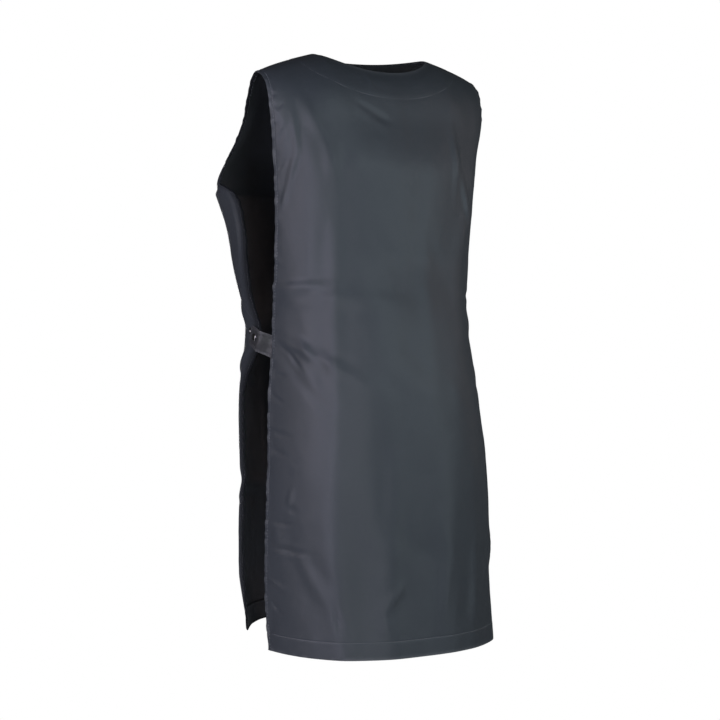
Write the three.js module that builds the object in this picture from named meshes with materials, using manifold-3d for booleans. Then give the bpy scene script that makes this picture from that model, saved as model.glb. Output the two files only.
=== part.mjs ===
// A cobbler apron, a tabard of twill: a back panel and a front panel joined over the shoulders,
// open down both sides, with a facing inside each neckline and a snap tab at each side of the
// waist. It keeps the form it has when worn, around an empty space.
// Millimetres. +X is the wearer's left, +Y the wearer's back and +Z up. The origin is midway
// between the shoulders, level with the highest points of the shoulder seams.
import * as THREE from 'three';
import { mergeVertices } from 'three/addons/utils/BufferGeometryUtils.js';
import Module from 'manifold-3d';

const wasm = await Module();
wasm.setup();

// Driving sizes of the garment. A depth is measured down from the origin.
const backLength = 912;
const frontLength = 883;
const shoulderHalf = 205;
const shoulderDrop = 31;
const neckHalf = 105;
const backNeckDrop = 27;
const frontNeckDrop = 8;
const bodyHalf = 205;
const backReach = 166;
const frontReach = 220;
const backRoll = 93;
const frontRoll = 198;
const backHemRise = 8;

// Cloth, hems and facings.
const clothWall = 1.2;
const hemWall = 2.4;
const sideHem = 10;
const bottomHem = 28;
const hemStep = 2;
const facingWall = 1.0;
const facingDepth = 34;
const seamGap = 0.3;
const layGap = 0.3;
const snapGap = 0.5;

// Tabs. The tab is sewn inside the back panel's edge and snaps over the front panel's.
const tabWidth = 32;
const tabWall = 2.0;
const tabInset = 15;
const tabOverlap = 25;
const tabLevel = 432;
const tabSlope = THREE.MathUtils.degToRad(22);
const tabCorner = 6;
const tabGap = 0.5;
const tabSteps = 14;
const tabPull = 22;
const pullAbove = 45;
const pullBelow = 26;
const pullInward = 95;
const tabHold = 60;

// Press snaps: a cap with its socket on each tab, and two studs on the front panel beside it.
const studInset = 12;
const studPitch = 24;
const flangeRadius = 5.2;
const flangeWall = 0.5;
const postRadius = 1.8;
const postHeight = 1.2;
const shankRadius = 1.5;
const socketWall = 1.6;
const capRadius = 5.8;
const capHeight = 1.5;
const snapSides = 14;

// Folds and creases: how far the tallest stands out, its breadth and its length.
const foldRise = 9;
const foldBreadth = 30;
const foldRun = 260;

// Mesh steps.
const rowStep = 38;
const rowGrowth = 1.32;
const facingRows = 5;
const neckColumns = 4;
const facingColumns = 2;
const fieldColumns = 5;
const arcSamples = 120;

// Horizontal sections of the back, from the shoulder to the hem. depth is a share of the
// panel's length and half_width a share of bodyHalf. edge_y and centre_y are shares of the
// panel's reach, to its side edge and its middle. wrap is how many degrees of a quarter turn
// each side covers, and square says how boxy the curve is.
const backSections = [
  { depth: 0.00, half_width: 1.01, edge_y: 0.29, centre_y: 0.46, wrap: 80, square: 2.5 },
  { depth: 0.09, half_width: 0.99, edge_y: 0.22, centre_y: 0.49, wrap: 80, square: 2.5 },
  { depth: 0.20, half_width: 0.91, edge_y: 0.12, centre_y: 0.63, wrap: 82, square: 2.5 },
  { depth: 0.33, half_width: 0.87, edge_y: 0.06, centre_y: 0.63, wrap: 84, square: 2.4 },
  { depth: 0.46, half_width: 0.84, edge_y: -0.04, centre_y: 0.77, wrap: 84, square: 2.5 },
  { depth: 0.57, half_width: 0.88, edge_y: -0.02, centre_y: 0.86, wrap: 84, square: 2.7 },
  { depth: 0.71, half_width: 0.93, edge_y: 0.03, centre_y: 0.90, wrap: 84, square: 2.8 },
  { depth: 0.88, half_width: 0.95, edge_y: 0.03, centre_y: 0.93, wrap: 82, square: 2.7 },
  { depth: 1.00, half_width: 0.96, edge_y: 0.11, centre_y: 0.99, wrap: 80, square: 2.7 },
];

// The same for the front. Its side edge stands forward at the bust and turns back below it.
const bustDepth = 0.221;
const bustTurn = 0.240;
const frontSections = [
  { depth: 0.00, half_width: 0.93, edge_y: 0.13, centre_y: 0.42, wrap: 70, square: 2.3 },
  { depth: 0.09, half_width: 0.85, edge_y: 0.24, centre_y: 0.72, wrap: 66, square: 2.3 },
  { depth: bustDepth, half_width: 1.01, edge_y: 0.46, centre_y: 0.96, wrap: 62, square: 2.7 },
  { depth: bustTurn, half_width: 0.98, edge_y: 0.32, centre_y: 0.98, wrap: 86, square: 2.8 },
  { depth: 0.34, half_width: 0.89, edge_y: 0.24, centre_y: 0.91, wrap: 87, square: 2.7 },
  { depth: 0.475, half_width: 0.89, edge_y: 0.20, centre_y: 0.76, wrap: 83, square: 2.3 },
  { depth: 0.59, half_width: 0.94, edge_y: 0.19, centre_y: 0.76, wrap: 81, square: 2.5 },
  { depth: 0.735, half_width: 0.98, edge_y: 0.14, centre_y: 0.74, wrap: 75, square: 2.6 },
  { depth: 0.905, half_width: 1.02, edge_y: 0.11, centre_y: 0.79, wrap: 66, square: 2.4 },
  { depth: 1.00, half_width: 0.98, edge_y: 0.14, centre_y: 0.71, wrap: 59, square: 2.1 },
];

// Folds of each panel. across is a share of the half panel, positive on the wearer's left, and
// depth a share of its length. lean is the fold's slope in degrees, 0 for one that hangs and 90
// for one that runs level. run, breadth and rise are shares of the fold sizes above, and a
// negative rise is a dent.
const backFolds = [
  { across: 0.86, depth: 0.510, lean: 48, run: 0.34, breadth: 0.42, rise: -0.42 },
  { across: 0.80, depth: 0.482, lean: 62, run: 0.40, breadth: 0.45, rise: 0.36 },
  { across: 0.72, depth: 0.400, lean: 84, run: 0.42, breadth: 0.60, rise: 0.32 },
  { across: -0.86, depth: 0.500, lean: -50, run: 0.34, breadth: 0.45, rise: -0.40 },
  { across: -0.78, depth: 0.440, lean: -70, run: 0.36, breadth: 0.55, rise: 0.30 },
  { across: 0.81, depth: 0.150, lean: -4, run: 0.50, breadth: 0.90, rise: -0.40 },
  { across: -0.58, depth: 0.290, lean: -16, run: 0.62, breadth: 0.80, rise: 0.36 },
  { across: 0.54, depth: 0.900, lean: 2, run: 0.66, breadth: 1.00, rise: 0.48 },
  { across: 0.24, depth: 0.900, lean: 0, run: 0.60, breadth: 1.00, rise: 0.42 },
  { across: -0.16, depth: 0.880, lean: -2, run: 0.60, breadth: 1.10, rise: 0.40 },
  { across: -0.66, depth: 0.860, lean: -4, run: 0.70, breadth: 1.10, rise: 0.55 },
];
const frontFolds = [
  { across: 0.93, depth: 0.290, lean: 3, run: 0.30, breadth: 0.36, rise: -0.36 },
  { across: -0.93, depth: 0.290, lean: -3, run: 0.30, breadth: 0.36, rise: -0.36 },
  { across: 0.72, depth: 0.450, lean: -58, run: 0.36, breadth: 0.50, rise: 0.36 },
  { across: -0.72, depth: 0.450, lean: 58, run: 0.36, breadth: 0.50, rise: 0.36 },
  { across: 0.70, depth: 0.545, lean: 52, run: 0.36, breadth: 0.50, rise: 0.34 },
  { across: -0.70, depth: 0.545, lean: -52, run: 0.36, breadth: 0.50, rise: 0.34 },
  { across: 0.62, depth: 0.750, lean: 82, run: 0.34, breadth: 0.60, rise: -0.40 },
  { across: 0.34, depth: 0.640, lean: 6, run: 0.95, breadth: 1.10, rise: 0.70 },
  { across: -0.38, depth: 0.620, lean: -8, run: 0.95, breadth: 1.10, rise: 0.70 },
  { across: 0.02, depth: 0.840, lean: 0, run: 0.70, breadth: 1.20, rise: 0.60 },
];

// Everything that sets one panel apart from the other. side is +1 at the back, -1 at the front.
// closeRows are extra mesh rows as shares of the length, and tabRows are those beside the tab,
// in tab widths below its level.
const backPanel = {
  side: 1,
  length: backLength,
  neckDrop: backNeckDrop,
  reach: backReach,
  roll: backRoll,
  hemRise: backHemRise,
  pull: 0,
  sections: backSections,
  folds: backFolds,
  closeRows: [],
  tabRows: [-1.24, -0.54, 0.18, 0.89, 1.60],
};
const frontPanel = {
  side: -1,
  length: frontLength,
  neckDrop: frontNeckDrop,
  reach: frontReach,
  roll: frontRoll,
  hemRise: 0,
  pull: tabPull,
  sections: frontSections,
  folds: frontFolds,
  closeRows: [0.205, bustDepth, 0.2305, bustTurn, 0.26],
  tabRows: [-0.94, -0.53, -0.12, 0.30, 0.72, 1.12],
};

const clamp = THREE.MathUtils.clamp;
const lerp = THREE.MathUtils.lerp;
const smooth = (share) => share * share * (3 - 2 * share);

// The value of one column of a table at a depth share, on a smooth curve without overshoot.
function tableValue(rows, column, depth) {
  const share = clamp(depth, rows[0].depth, rows.at(-1).depth);
  const last = rows.length - 1;
  const slope = (k) => (rows[k + 1][column] - rows[k][column]) / (rows[k + 1].depth - rows[k].depth);
  const tangent = (k) => {
    if (k === 0) return slope(0);
    if (k === last) return slope(last - 1);
    const above = slope(k - 1);
    const below = slope(k);
    const spanAbove = rows[k].depth - rows[k - 1].depth;
    const spanBelow = rows[k + 1].depth - rows[k].depth;
    const agree = above * below > 0;
    return agree ? (spanAbove + spanBelow) / (spanAbove / below + spanBelow / above) : 0;
  };
  let k = 0;
  while (k < last - 1 && share >= rows[k + 1].depth) k += 1;
  const span = rows[k + 1].depth - rows[k].depth;
  const t = (share - rows[k].depth) / span;
  const rise = rows[k][column] * (1 - smooth(t)) + rows[k + 1][column] * smooth(t);
  const bend = tangent(k) * t * (1 - t) ** 2 - tangent(k + 1) * t * t * (1 - t);
  return rise + span * bend;
}

// Depth of the shoulder seam, and of a panel's top edge, at a distance from the middle.
function ridgeDepth(fromMiddle) {
  const share = clamp((fromMiddle - neckHalf) / (shoulderHalf - neckHalf), 0, 1);
  return shoulderDrop * (0.8 * share + 0.2 * share ** 3);
}

function topDepth(panel, across) {
  const fromMiddle = Math.abs(across) * shoulderHalf;
  const share = Math.min(fromMiddle / neckHalf, 1);
  return ridgeDepth(fromMiddle) + panel.neckDrop * (1 - share ** 2.2);
}

function hemDepth(panel, across) {
  return panel.length - panel.hemRise * Math.abs(across) ** 2.5;
}

// One horizontal section: the point at a share of the half arc, and the half arc's length.
function sectionPoint(panel, across, depth) {
  const value = (column) => tableValue(panel.sections, column, depth / panel.length);
  const halfWidth = value('half_width') * bodyHalf;
  const edge = value('edge_y') * panel.reach;
  const centre = value('centre_y') * panel.reach;
  const wrap = THREE.MathUtils.degToRad(value('wrap'));
  const power = 2 / value('square');
  const edgeSin = Math.sin(wrap) ** power;
  const edgeCos = Math.cos(wrap) ** power;
  const curve = Array.from({ length: arcSamples + 1 }, (_, k) => {
    const turn = (wrap * k) / arcSamples;
    const x = (halfWidth * Math.sin(turn) ** power) / edgeSin;
    const y = edge + ((centre - edge) * (Math.cos(turn) ** power - edgeCos)) / (1 - edgeCos);
    return new THREE.Vector2(x, y);
  });
  const run = [0];
  for (let k = 1; k <= arcSamples; k += 1) run.push(run[k - 1] + curve[k].distanceTo(curve[k - 1]));
  const halfArc = run.at(-1);
  const wanted = Math.min(Math.abs(across), 1) * halfArc;
  let k = 0;
  while (k < arcSamples - 1 && run[k + 1] < wanted) k += 1;
  const point = curve[k].clone().lerp(curve[k + 1], (wanted - run[k]) / (run[k + 1] - run[k]));
  return { x: Math.sign(across) * point.x, y: point.y, halfArc };
}

// The tab draws the front panel's edge back towards it, most at the tab's own level.
function edgePull(panel, across, depth, halfArc) {
  const reachAcross = depth < tabLevel ? pullAbove : pullBelow;
  const level = Math.exp(-(((depth - tabLevel) / reachAcross) ** 2));
  const near = clamp(1 - ((1 - Math.abs(across)) * halfArc) / pullInward, 0, 1);
  return panel.pull * level * smooth(near);
}

// The middle of the cloth before its folds, rolled over the shoulder near the seam.
function smoothPoint(panel, across, depth) {
  const seamX = across * shoulderHalf;
  const below = clamp((depth - ridgeDepth(Math.abs(seamX))) / panel.roll, 0, 1);
  const rolled = Math.sqrt(1 - (1 - below) ** 2);
  const section = sectionPoint(panel, across, depth);
  const forward = section.y * rolled - edgePull(panel, across, depth, section.halfArc);
  const x = lerp(seamX, section.x, smooth(below));
  return new THREE.Vector3(x, panel.side * (seamGap / 2 + forward), -depth);
}

// How far the folds push the cloth out at a place on the panel. The cloth is held flat where
// a tab is fastened to it.
function foldHeight(panel, across, depth) {
  const { halfArc } = sectionPoint(panel, across, depth);
  const fromTab = Math.hypot((1 - Math.abs(across)) * halfArc, depth - tabLevel);
  const free = 1 - Math.exp(-((fromTab / tabHold) ** 2));
  return free * panel.folds.reduce((height, fold) => {
    const lean = THREE.MathUtils.degToRad(fold.lean);
    const aside = (across - fold.across) * halfArc;
    const down = depth - fold.depth * panel.length;
    const along = (down * Math.cos(lean) - aside * Math.sin(lean)) / (fold.run * foldRun);
    const beside = (aside * Math.cos(lean) + down * Math.sin(lean)) / (fold.breadth * foldBreadth);
    const crest = (1 - beside ** 2) * Math.exp(-(beside ** 2)) * Math.exp(-(along ** 2));
    return height + fold.rise * foldRise * crest;
  }, 0);
}

// A point of the cloth, moved out from its middle by an offset along the outward normal.
function clothPoint(panel, across, depth, offset) {
  const reachAside = 0.01;
  const reachDown = 0.02;
  const left = smoothPoint(panel, Math.max(across - reachAside, -1), depth);
  const right = smoothPoint(panel, Math.min(across + reachAside, 1), depth);
  const high = smoothPoint(panel, across, Math.max(depth - reachDown, topDepth(panel, across)));
  const low = smoothPoint(panel, across, depth + reachDown);
  const normal = right.sub(left).cross(low.sub(high)).normalize().multiplyScalar(panel.side);
  const out = offset + foldHeight(panel, across, depth);
  return smoothPoint(panel, across, depth).addScaledVector(normal, out);
}

// A closed body from two facing grids of points, outer and inner, with its rim filled in.
// The diagonals of the left half mirror those of the right.
function wallBody(outer, inner) {
  const rows = outer.length;
  const columns = outer[0].length;
  const points = [...outer.flat(), ...inner.flat()];
  const corner = (layer, row, column) => (layer * rows + row) * columns + column;
  const faces = [];
  const quad = (a, b, c, d) => faces.push([a, b, c], [a, c, d]);
  for (let row = 0; row < rows - 1; row += 1) {
    for (let column = 0; column < columns - 1; column += 1) {
      for (const layer of [0, 1]) {
        const ring = [
          corner(layer, row, column),
          corner(layer, row + 1, column),
          corner(layer, row + 1, column + 1),
          corner(layer, row, column + 1),
        ];
        if (column >= (columns - 1) / 2) ring.push(ring.shift());
        const [a, b, c, d] = ring;
        if (layer === 0) quad(a, b, c, d);
        else quad(a, d, c, b);
      }
    }
  }
  const rim = [];
  for (let column = 0; column < columns - 1; column += 1) rim.push([0, column]);
  for (let row = 0; row < rows - 1; row += 1) rim.push([row, columns - 1]);
  for (let column = columns - 1; column > 0; column -= 1) rim.push([rows - 1, column]);
  for (let row = rows - 1; row > 0; row -= 1) rim.push([row, 0]);
  rim.forEach((here, k) => {
    const next = rim[(k + 1) % rim.length];
    quad(corner(0, ...here), corner(0, ...next), corner(1, ...next), corner(1, ...here));
  });
  const volume = faces.reduce((sum, [a, b, c]) =>
    sum + points[a].dot(points[b].clone().cross(points[c])), 0);
  if (volume < 0) faces.forEach((face) => face.reverse());
  const geometry = new THREE.BufferGeometry().setFromPoints(points);
  geometry.setIndex(faces.flat());
  return geometry;
}

// The rows of a panel from its top edge to its hem, each a depth that depends on how far
// across it is. They are close over the shoulder, beside the tab and at the hem's fold.
function panelRows(panel) {
  const facingLine = (across) => topDepth(panel, across) + facingDepth;
  const hemLine = (across) => hemDepth(panel, across) - bottomHem - hemStep;
  const rows = [];
  for (let k = 0; k <= facingRows; k += 1) {
    const drop = facingDepth * (k / facingRows) ** 1.6;
    rows.push((across) => topDepth(panel, across) + drop);
  }
  const from = facingLine(1);
  const to = hemLine(1);
  const fixed = [
    ...panel.closeRows.map((share) => share * panel.length),
    ...panel.tabRows.map((widths) => tabLevel + widths * tabWidth),
  ];
  const depths = [];
  let step = facingDepth / facingRows;
  let depth = from + step;
  while (depth < to - rowStep / 2) {
    depths.push(depth);
    step = Math.min(step * rowGrowth, rowStep);
    depth += step;
  }
  const free = depths.filter((here) => fixed.every((other) => Math.abs(other - here) > rowStep / 3));
  const field = [...free, ...fixed, to].sort((a, b) => a - b);
  for (const here of field) {
    const share = (here - from) / (to - from);
    rows.push((across) => lerp(facingLine(across), hemLine(across), share));
  }
  rows.push((across) => hemDepth(panel, across) - bottomHem, (across) => hemDepth(panel, across));
  return rows;
}

// Places across one row. The neck point, the facing's edge and the side hem's fold each have a
// line of their own.
function rowPlaces(panel, depthAt) {
  const neckShare = neckHalf / shoulderHalf;
  const facingShare = (neckHalf + facingDepth) / shoulderHalf;
  const { halfArc } = sectionPoint(panel, 1, depthAt(1));
  const foldShare = 1 - (sideHem + hemStep) / halfArc;
  const half = [];
  for (let k = 0; k < neckColumns; k += 1) half.push((neckShare * k) / neckColumns);
  for (let k = 0; k < facingColumns; k += 1) half.push(lerp(neckShare, facingShare, k / facingColumns));
  for (let k = 0; k <= fieldColumns; k += 1) half.push(lerp(facingShare, foldShare, k / fieldColumns));
  half.push(1 - sideHem / halfArc, 1);
  const mirrored = half.slice(1).reverse().map((across) => -across);
  return [...mirrored, ...half].map((across) => ({ across, depth: depthAt(across) }));
}

function panelBody(panel) {
  const rows = panelRows(panel).map((depthAt) => rowPlaces(panel, depthAt));
  const columns = rows[0].length;
  const onHem = (row, column) => row >= rows.length - 2 || column < 2 || column > columns - 3;
  const outer = rows.map((row) => row.map(({ across, depth }) =>
    clothPoint(panel, across, depth, clothWall / 2)));
  const inner = rows.map((row, r) => row.map(({ across, depth }, c) =>
    clothPoint(panel, across, depth, clothWall / 2 - (onHem(r, c) ? hemWall : clothWall))));
  return wallBody(outer, inner);
}

// A facing lies inside its panel, along the neckline and out over the shoulder.
function facingBody(panel) {
  const edge = fieldColumns + 2;
  const rows = panelRows(panel).slice(0, facingRows + 1).map((depthAt) =>
    rowPlaces(panel, depthAt).slice(edge, -edge));
  const face = -clothWall / 2 - layGap;
  const layer = (offset) => rows.map((row) => row.map(({ across, depth }) =>
    clothPoint(panel, across, depth, offset)));
  return wallBody(layer(face), layer(face - facingWall));
}

// Offsets from the middle of each panel's cloth to the middle of the tab.
const tabUnder = -(hemWall - clothWall / 2 + tabGap + tabWall / 2);
const flangeBase = clothWall / 2 + snapGap;
const flangeTop = flangeBase + flangeWall;
const socketBase = flangeTop + layGap;
const tabOver = socketBase + socketWall + snapGap + tabWall / 2;

// A point on the way round one side: run is measured forwards from the back panel's edge,
// first inside the back panel, then across the open side and then over the front panel.
function girthPoint(side, run, depth) {
  const halfArc = (panel) => sectionPoint(panel, side, depth).halfArc;
  const onBack = (at) => clothPoint(backPanel, side * (1 + at / halfArc(backPanel)), depth, tabUnder);
  const onFront = (at) => clothPoint(frontPanel, side * (1 - at / halfArc(frontPanel)), depth, tabOver);
  const start = onBack(0);
  const end = onFront(0);
  const gap = start.distanceTo(end);
  if (run <= 0) return onBack(run);
  if (run >= gap) return onFront(run - gap);
  const leave = start.clone().sub(onBack(-1)).multiplyScalar(gap);
  const arrive = onFront(1).sub(end).multiplyScalar(gap);
  const t = run / gap;
  return start.multiplyScalar(1 - smooth(t))
    .addScaledVector(end, smooth(t))
    .addScaledVector(leave, t * (1 - t) ** 2)
    .addScaledVector(arrive, -t * t * (1 - t));
}

function gapAt(side, depth) {
  return clothPoint(backPanel, side, depth, tabUnder)
    .distanceTo(clothPoint(frontPanel, side, depth, tabOver));
}

// A tab's own coordinates: along runs forwards from its snap and beside runs down its width.
function tabPoint(side, along, beside, offset) {
  const place = (s, w) => girthPoint(
    side,
    gapAt(side, tabLevel) + studInset + s * Math.cos(tabSlope) + w * Math.sin(tabSlope),
    tabLevel - s * Math.sin(tabSlope) + w * Math.cos(tabSlope));
  const reach = 0.5;
  const forward = place(along + reach, beside).sub(place(along - reach, beside));
  const down = place(along, beside + reach).sub(place(along, beside - reach));
  const normal = down.cross(forward).normalize().multiplyScalar(-side);
  return place(along, beside).addScaledVector(normal, offset);
}

function tabBody(side) {
  const sewnEnd = -(gapAt(side, tabLevel) + studInset + tabInset) / Math.cos(tabSlope);
  const freeEnd = tabOverlap - studInset;
  const lines = [-1, -0.9, -0.65, 0, 0.65, 0.9, 1].map((share) => (share * tabWidth) / 2);
  const layer = (offset) => lines.map((beside) => {
    const past = Math.max(0, (Math.abs(beside) - tabWidth / 2 + tabCorner) / tabCorner);
    const end = freeEnd - tabCorner * (1 - Math.sqrt(1 - past ** 2));
    return Array.from({ length: tabSteps + 1 }, (_, k) =>
      tabPoint(side, lerp(sewnEnd, end, k / tabSteps), beside, offset));
  });
  return wallBody(layer(tabWall / 2), layer(-tabWall / 2));
}

// Where a stud sits, 0 for the one under the cap and 1 for the spare, and its outward normal.
function studSeat(side, place) {
  const along = place * studPitch;
  const depth = tabLevel - along * Math.sin(tabSlope);
  const inward = studInset + along * Math.cos(tabSlope) + gapAt(side, tabLevel) - gapAt(side, depth);
  const across = side * (1 - inward / sectionPoint(frontPanel, side, depth).halfArc);
  const point = clothPoint(frontPanel, across, depth, 0);
  const normal = clothPoint(frontPanel, across, depth, 1).sub(point).normalize();
  return { point, normal };
}

// Turned pieces: a profile of radius and height, closed on the axis, spun about it.
function turned(profile) {
  return new THREE.LatheGeometry(profile.map(([r, y]) => new THREE.Vector2(r, y)), snapSides);
}

const ringTop = -(hemWall - clothWall / 2) - snapGap;

function studBody() {
  return turned([
    [0, ringTop - flangeWall],
    [flangeRadius, ringTop - flangeWall],
    [flangeRadius, ringTop],
    [shankRadius, ringTop],
    [shankRadius, flangeBase],
    [flangeRadius, flangeBase],
    [flangeRadius, flangeTop],
    [postRadius, flangeTop],
    [postRadius, flangeTop + postHeight * 0.7],
    [postRadius * 0.6, flangeTop + postHeight],
    [0, flangeTop + postHeight],
  ]);
}

function capBody() {
  const roof = flangeTop + postHeight + layGap;
  const socketTop = socketBase + socketWall;
  const capBase = tabOver + tabWall / 2 + snapGap;
  return turned([
    [0, roof],
    [postRadius + layGap, roof],
    [postRadius + layGap, socketBase],
    [flangeRadius, socketBase],
    [flangeRadius, socketTop],
    [shankRadius, socketTop],
    [shankRadius, capBase],
    [capRadius, capBase],
    [capRadius, capBase + capHeight * 0.4],
    [capRadius * 0.75, capBase + capHeight * 0.85],
    [0, capBase + capHeight],
  ]);
}

// Sets a turned piece or a drill on its seat, with its axis along the seat's normal.
function seat(object, { point, normal }) {
  object.position.copy(point);
  object.quaternion.setFromUnitVectors(new THREE.Vector3(0, 1, 0), normal);
  object.updateMatrix();
  return object;
}

function solidOf(geometry) {
  const plain = geometry.clone();
  plain.deleteAttribute('normal');
  plain.deleteAttribute('uv');
  const merged = mergeVertices(plain);
  return new wasm.Manifold(new wasm.Mesh({
    numProp: 3,
    vertProperties: Float32Array.from(merged.attributes.position.array),
    triVerts: Uint32Array.from(merged.index.array),
  }));
}

function geometryOf(solid) {
  const mesh = solid.getMesh();
  const geometry = new THREE.BufferGeometry();
  geometry.setAttribute('position', new THREE.Float32BufferAttribute(mesh.vertProperties, 3));
  geometry.setIndex([...mesh.triVerts]);
  return geometry;
}

// Drills a clear hole for a snap's shank through a piece of cloth at each seat.
function drilled(geometry, seats) {
  const length = 2 * (tabOver + tabWall);
  const holes = seats.map((place) => {
    const drill = seat(new THREE.Mesh(
      new THREE.CylinderGeometry(shankRadius + layGap, shankRadius + layGap, length, snapSides)), place);
    return solidOf(drill.geometry.applyMatrix4(drill.matrix));
  });
  return geometryOf(holes.reduce((solid, hole) => solid.subtract(hole), solidOf(geometry)));
}

const twill = () => new THREE.MeshStandardMaterial({ color: 0x43484f, roughness: 0.85, metalness: 0 });
const facingCloth = () => new THREE.MeshStandardMaterial({ color: 0x35393f, roughness: 0.9, metalness: 0 });
const darkMetal = () => new THREE.MeshStandardMaterial({ color: 0x6a6b6d, roughness: 0.3, metalness: 1 });

const apron = new THREE.Group();

function addPiece(name, geometry, material) {
  const mesh = new THREE.Mesh(geometry, material);
  mesh.name = name;
  apron.add(mesh);
  return mesh;
}

const sides = { left: 1, right: -1 };
const studSeats = Object.values(sides).flatMap((side) => [studSeat(side, 0), studSeat(side, 1)]);
addPiece('back_panel', panelBody(backPanel), twill());
addPiece('front_panel', drilled(panelBody(frontPanel), studSeats), twill());
addPiece('back_neck_facing', facingBody(backPanel), facingCloth());
addPiece('front_neck_facing', facingBody(frontPanel), facingCloth());
for (const [name, side] of Object.entries(sides)) {
  const capSeat = studSeat(side, 0);
  addPiece(`side_tab_${name}`, drilled(tabBody(side), [capSeat]), twill());
  seat(addPiece(`snap_cap_${name}`, capBody(), darkMetal()), capSeat);
  seat(addPiece(`snap_stud_${name}`, studBody(), darkMetal()), capSeat);
  seat(addPiece(`spare_stud_${name}`, studBody(), darkMetal()), studSeat(side, 1));
}

export default apron;
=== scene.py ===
# %% [markdown]
# # A cobbler apron in dark twill
# The apron is a tabard: one panel for the back and one for the front, joined over the
# shoulders and open down both sides, where a tab with a press snap closes each side at the
# waist. This lesson dresses the finished frame with cloth, stitching and metal. Everything is
# in metres: +X is the wearer's left, +Y the wearer's back and +Z up.

import math
from dataclasses import dataclass

import bmesh
import bpy
import numpy as np
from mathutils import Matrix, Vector


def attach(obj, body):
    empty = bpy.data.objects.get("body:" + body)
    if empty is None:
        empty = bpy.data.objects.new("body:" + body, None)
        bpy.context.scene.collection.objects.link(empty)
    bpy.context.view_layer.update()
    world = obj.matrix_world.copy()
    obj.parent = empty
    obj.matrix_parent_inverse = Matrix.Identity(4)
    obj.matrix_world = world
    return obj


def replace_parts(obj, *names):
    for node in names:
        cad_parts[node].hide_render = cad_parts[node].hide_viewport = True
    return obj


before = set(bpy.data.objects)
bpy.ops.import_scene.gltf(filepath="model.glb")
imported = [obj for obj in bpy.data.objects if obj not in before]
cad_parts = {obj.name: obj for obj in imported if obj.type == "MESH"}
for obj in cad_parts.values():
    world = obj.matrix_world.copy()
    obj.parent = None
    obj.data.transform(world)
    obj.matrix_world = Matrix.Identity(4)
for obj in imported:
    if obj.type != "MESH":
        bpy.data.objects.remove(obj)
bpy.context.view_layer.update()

# %% [markdown]
# ## The camera first
# The picture is taken from behind and from the wearer's left, with a long lens at chest
# height. A long lens keeps the near and far panels almost the same size, so the place and the
# lens were found together by matching the outline of both panels.

# %% Camera
CAMERA_PLACE = (2.060, 2.802, -0.320)
CAMERA_LOOKS = (-0.5895, -0.8067, -0.0431)
CAMERA_LENS = 111.2

camera = bpy.data.objects.new("camera", bpy.data.cameras.new("camera"))
camera.data.lens = CAMERA_LENS
camera.location = CAMERA_PLACE
camera.rotation_euler = Vector(CAMERA_LOOKS).to_track_quat("-Z", "Y").to_euler()
bpy.context.scene.collection.objects.link(camera)
bpy.context.scene.camera = camera
print("camera", CAMERA_LENS, "mm lens at", CAMERA_PLACE)

# %% [markdown]
# ## The sizes of the pattern
# A garment is cut flat, but worn cloth is easier to describe by its sections: at each height
# the panel is one curve round half of the body. The tables say how wide and how deep that
# curve is, how far round it goes and how boxy it is. The same tables made the frame, so the
# cloth fits it. Only the front's side edges are cut back further, by a short table of their
# own, because the picture shows less of the front below the tab.

# %% Sizes in metres
SHOULDER_HALF = 0.205
SHOULDER_DROP = 0.031
STRAIGHT_SHARE = 0.8
NECK_HALF = 0.105
NECK_POWER = 2.2
HEM_POWER = 2.5
BODY_HALF = 0.205
SEAM_GAP = 0.00004
LAY_GAP = 0.0003
SNAP_GAP = 0.0005
CLOTH_WALL = 0.0012
HEM_WALL = 0.0024
SIDE_HEM = 0.010
BOTTOM_HEM = 0.028
FACING_WALL = 0.0010
FACING_DEPTH = 0.043
TAB_LEVEL = 0.432
TAB_PULL = 0.022
PULL_ABOVE = 0.045
PULL_BELOW = 0.026
PULL_INWARD = 0.095
TAB_HOLD = 0.060
TAB_CLOSE = 0.6 * TAB_HOLD
FOLD_RISE = 0.009
FOLD_BREADTH = 0.030
FOLD_RUN = 0.260

# %% Sections of the two panels
# Columns: depth, half_width, edge_y, centre_y, wrap in degrees, square. depth is a share of
# the panel's length, and the others are shares of the body's half width or the panel's reach.
BACK_SECTIONS = np.array([
    (0.00, 1.01, 0.29, 0.46, 80, 2.5),
    (0.09, 0.99, 0.22, 0.49, 80, 2.5),
    (0.20, 0.91, 0.12, 0.63, 82, 2.5),
    (0.33, 0.87, 0.06, 0.63, 84, 2.4),
    (0.46, 0.84, -0.04, 0.77, 84, 2.5),
    (0.57, 0.88, -0.02, 0.86, 84, 2.7),
    (0.71, 0.93, 0.03, 0.90, 84, 2.8),
    (0.88, 0.95, 0.03, 0.93, 82, 2.7),
    (1.00, 0.96, 0.11, 0.99, 80, 2.7),
])
FRONT_SECTIONS = np.array([
    (0.00, 0.93, 0.13, 0.42, 70, 2.3),
    (0.09, 0.85, 0.24, 0.72, 66, 2.3),
    (0.221, 1.01, 0.46, 0.96, 62, 2.7),
    (0.240, 0.98, 0.32, 0.98, 86, 2.8),
    (0.34, 0.89, 0.24, 0.91, 87, 2.7),
    (0.475, 0.89, 0.20, 0.76, 83, 2.3),
    (0.59, 0.94, 0.19, 0.76, 81, 2.5),
    (0.735, 0.98, 0.14, 0.74, 75, 2.6),
    (0.905, 1.02, 0.11, 0.79, 66, 2.4),
    (1.00, 0.98, 0.14, 0.71, 59, 2.1),
])


# %% Broad folds, as in the frame
def both_sides(rows):
    """The rows of the wearer's left side, and the same rows mirrored to the right."""
    return rows + [(-across, depth, -lean, *rest) for across, depth, lean, *rest in rows]


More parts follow.
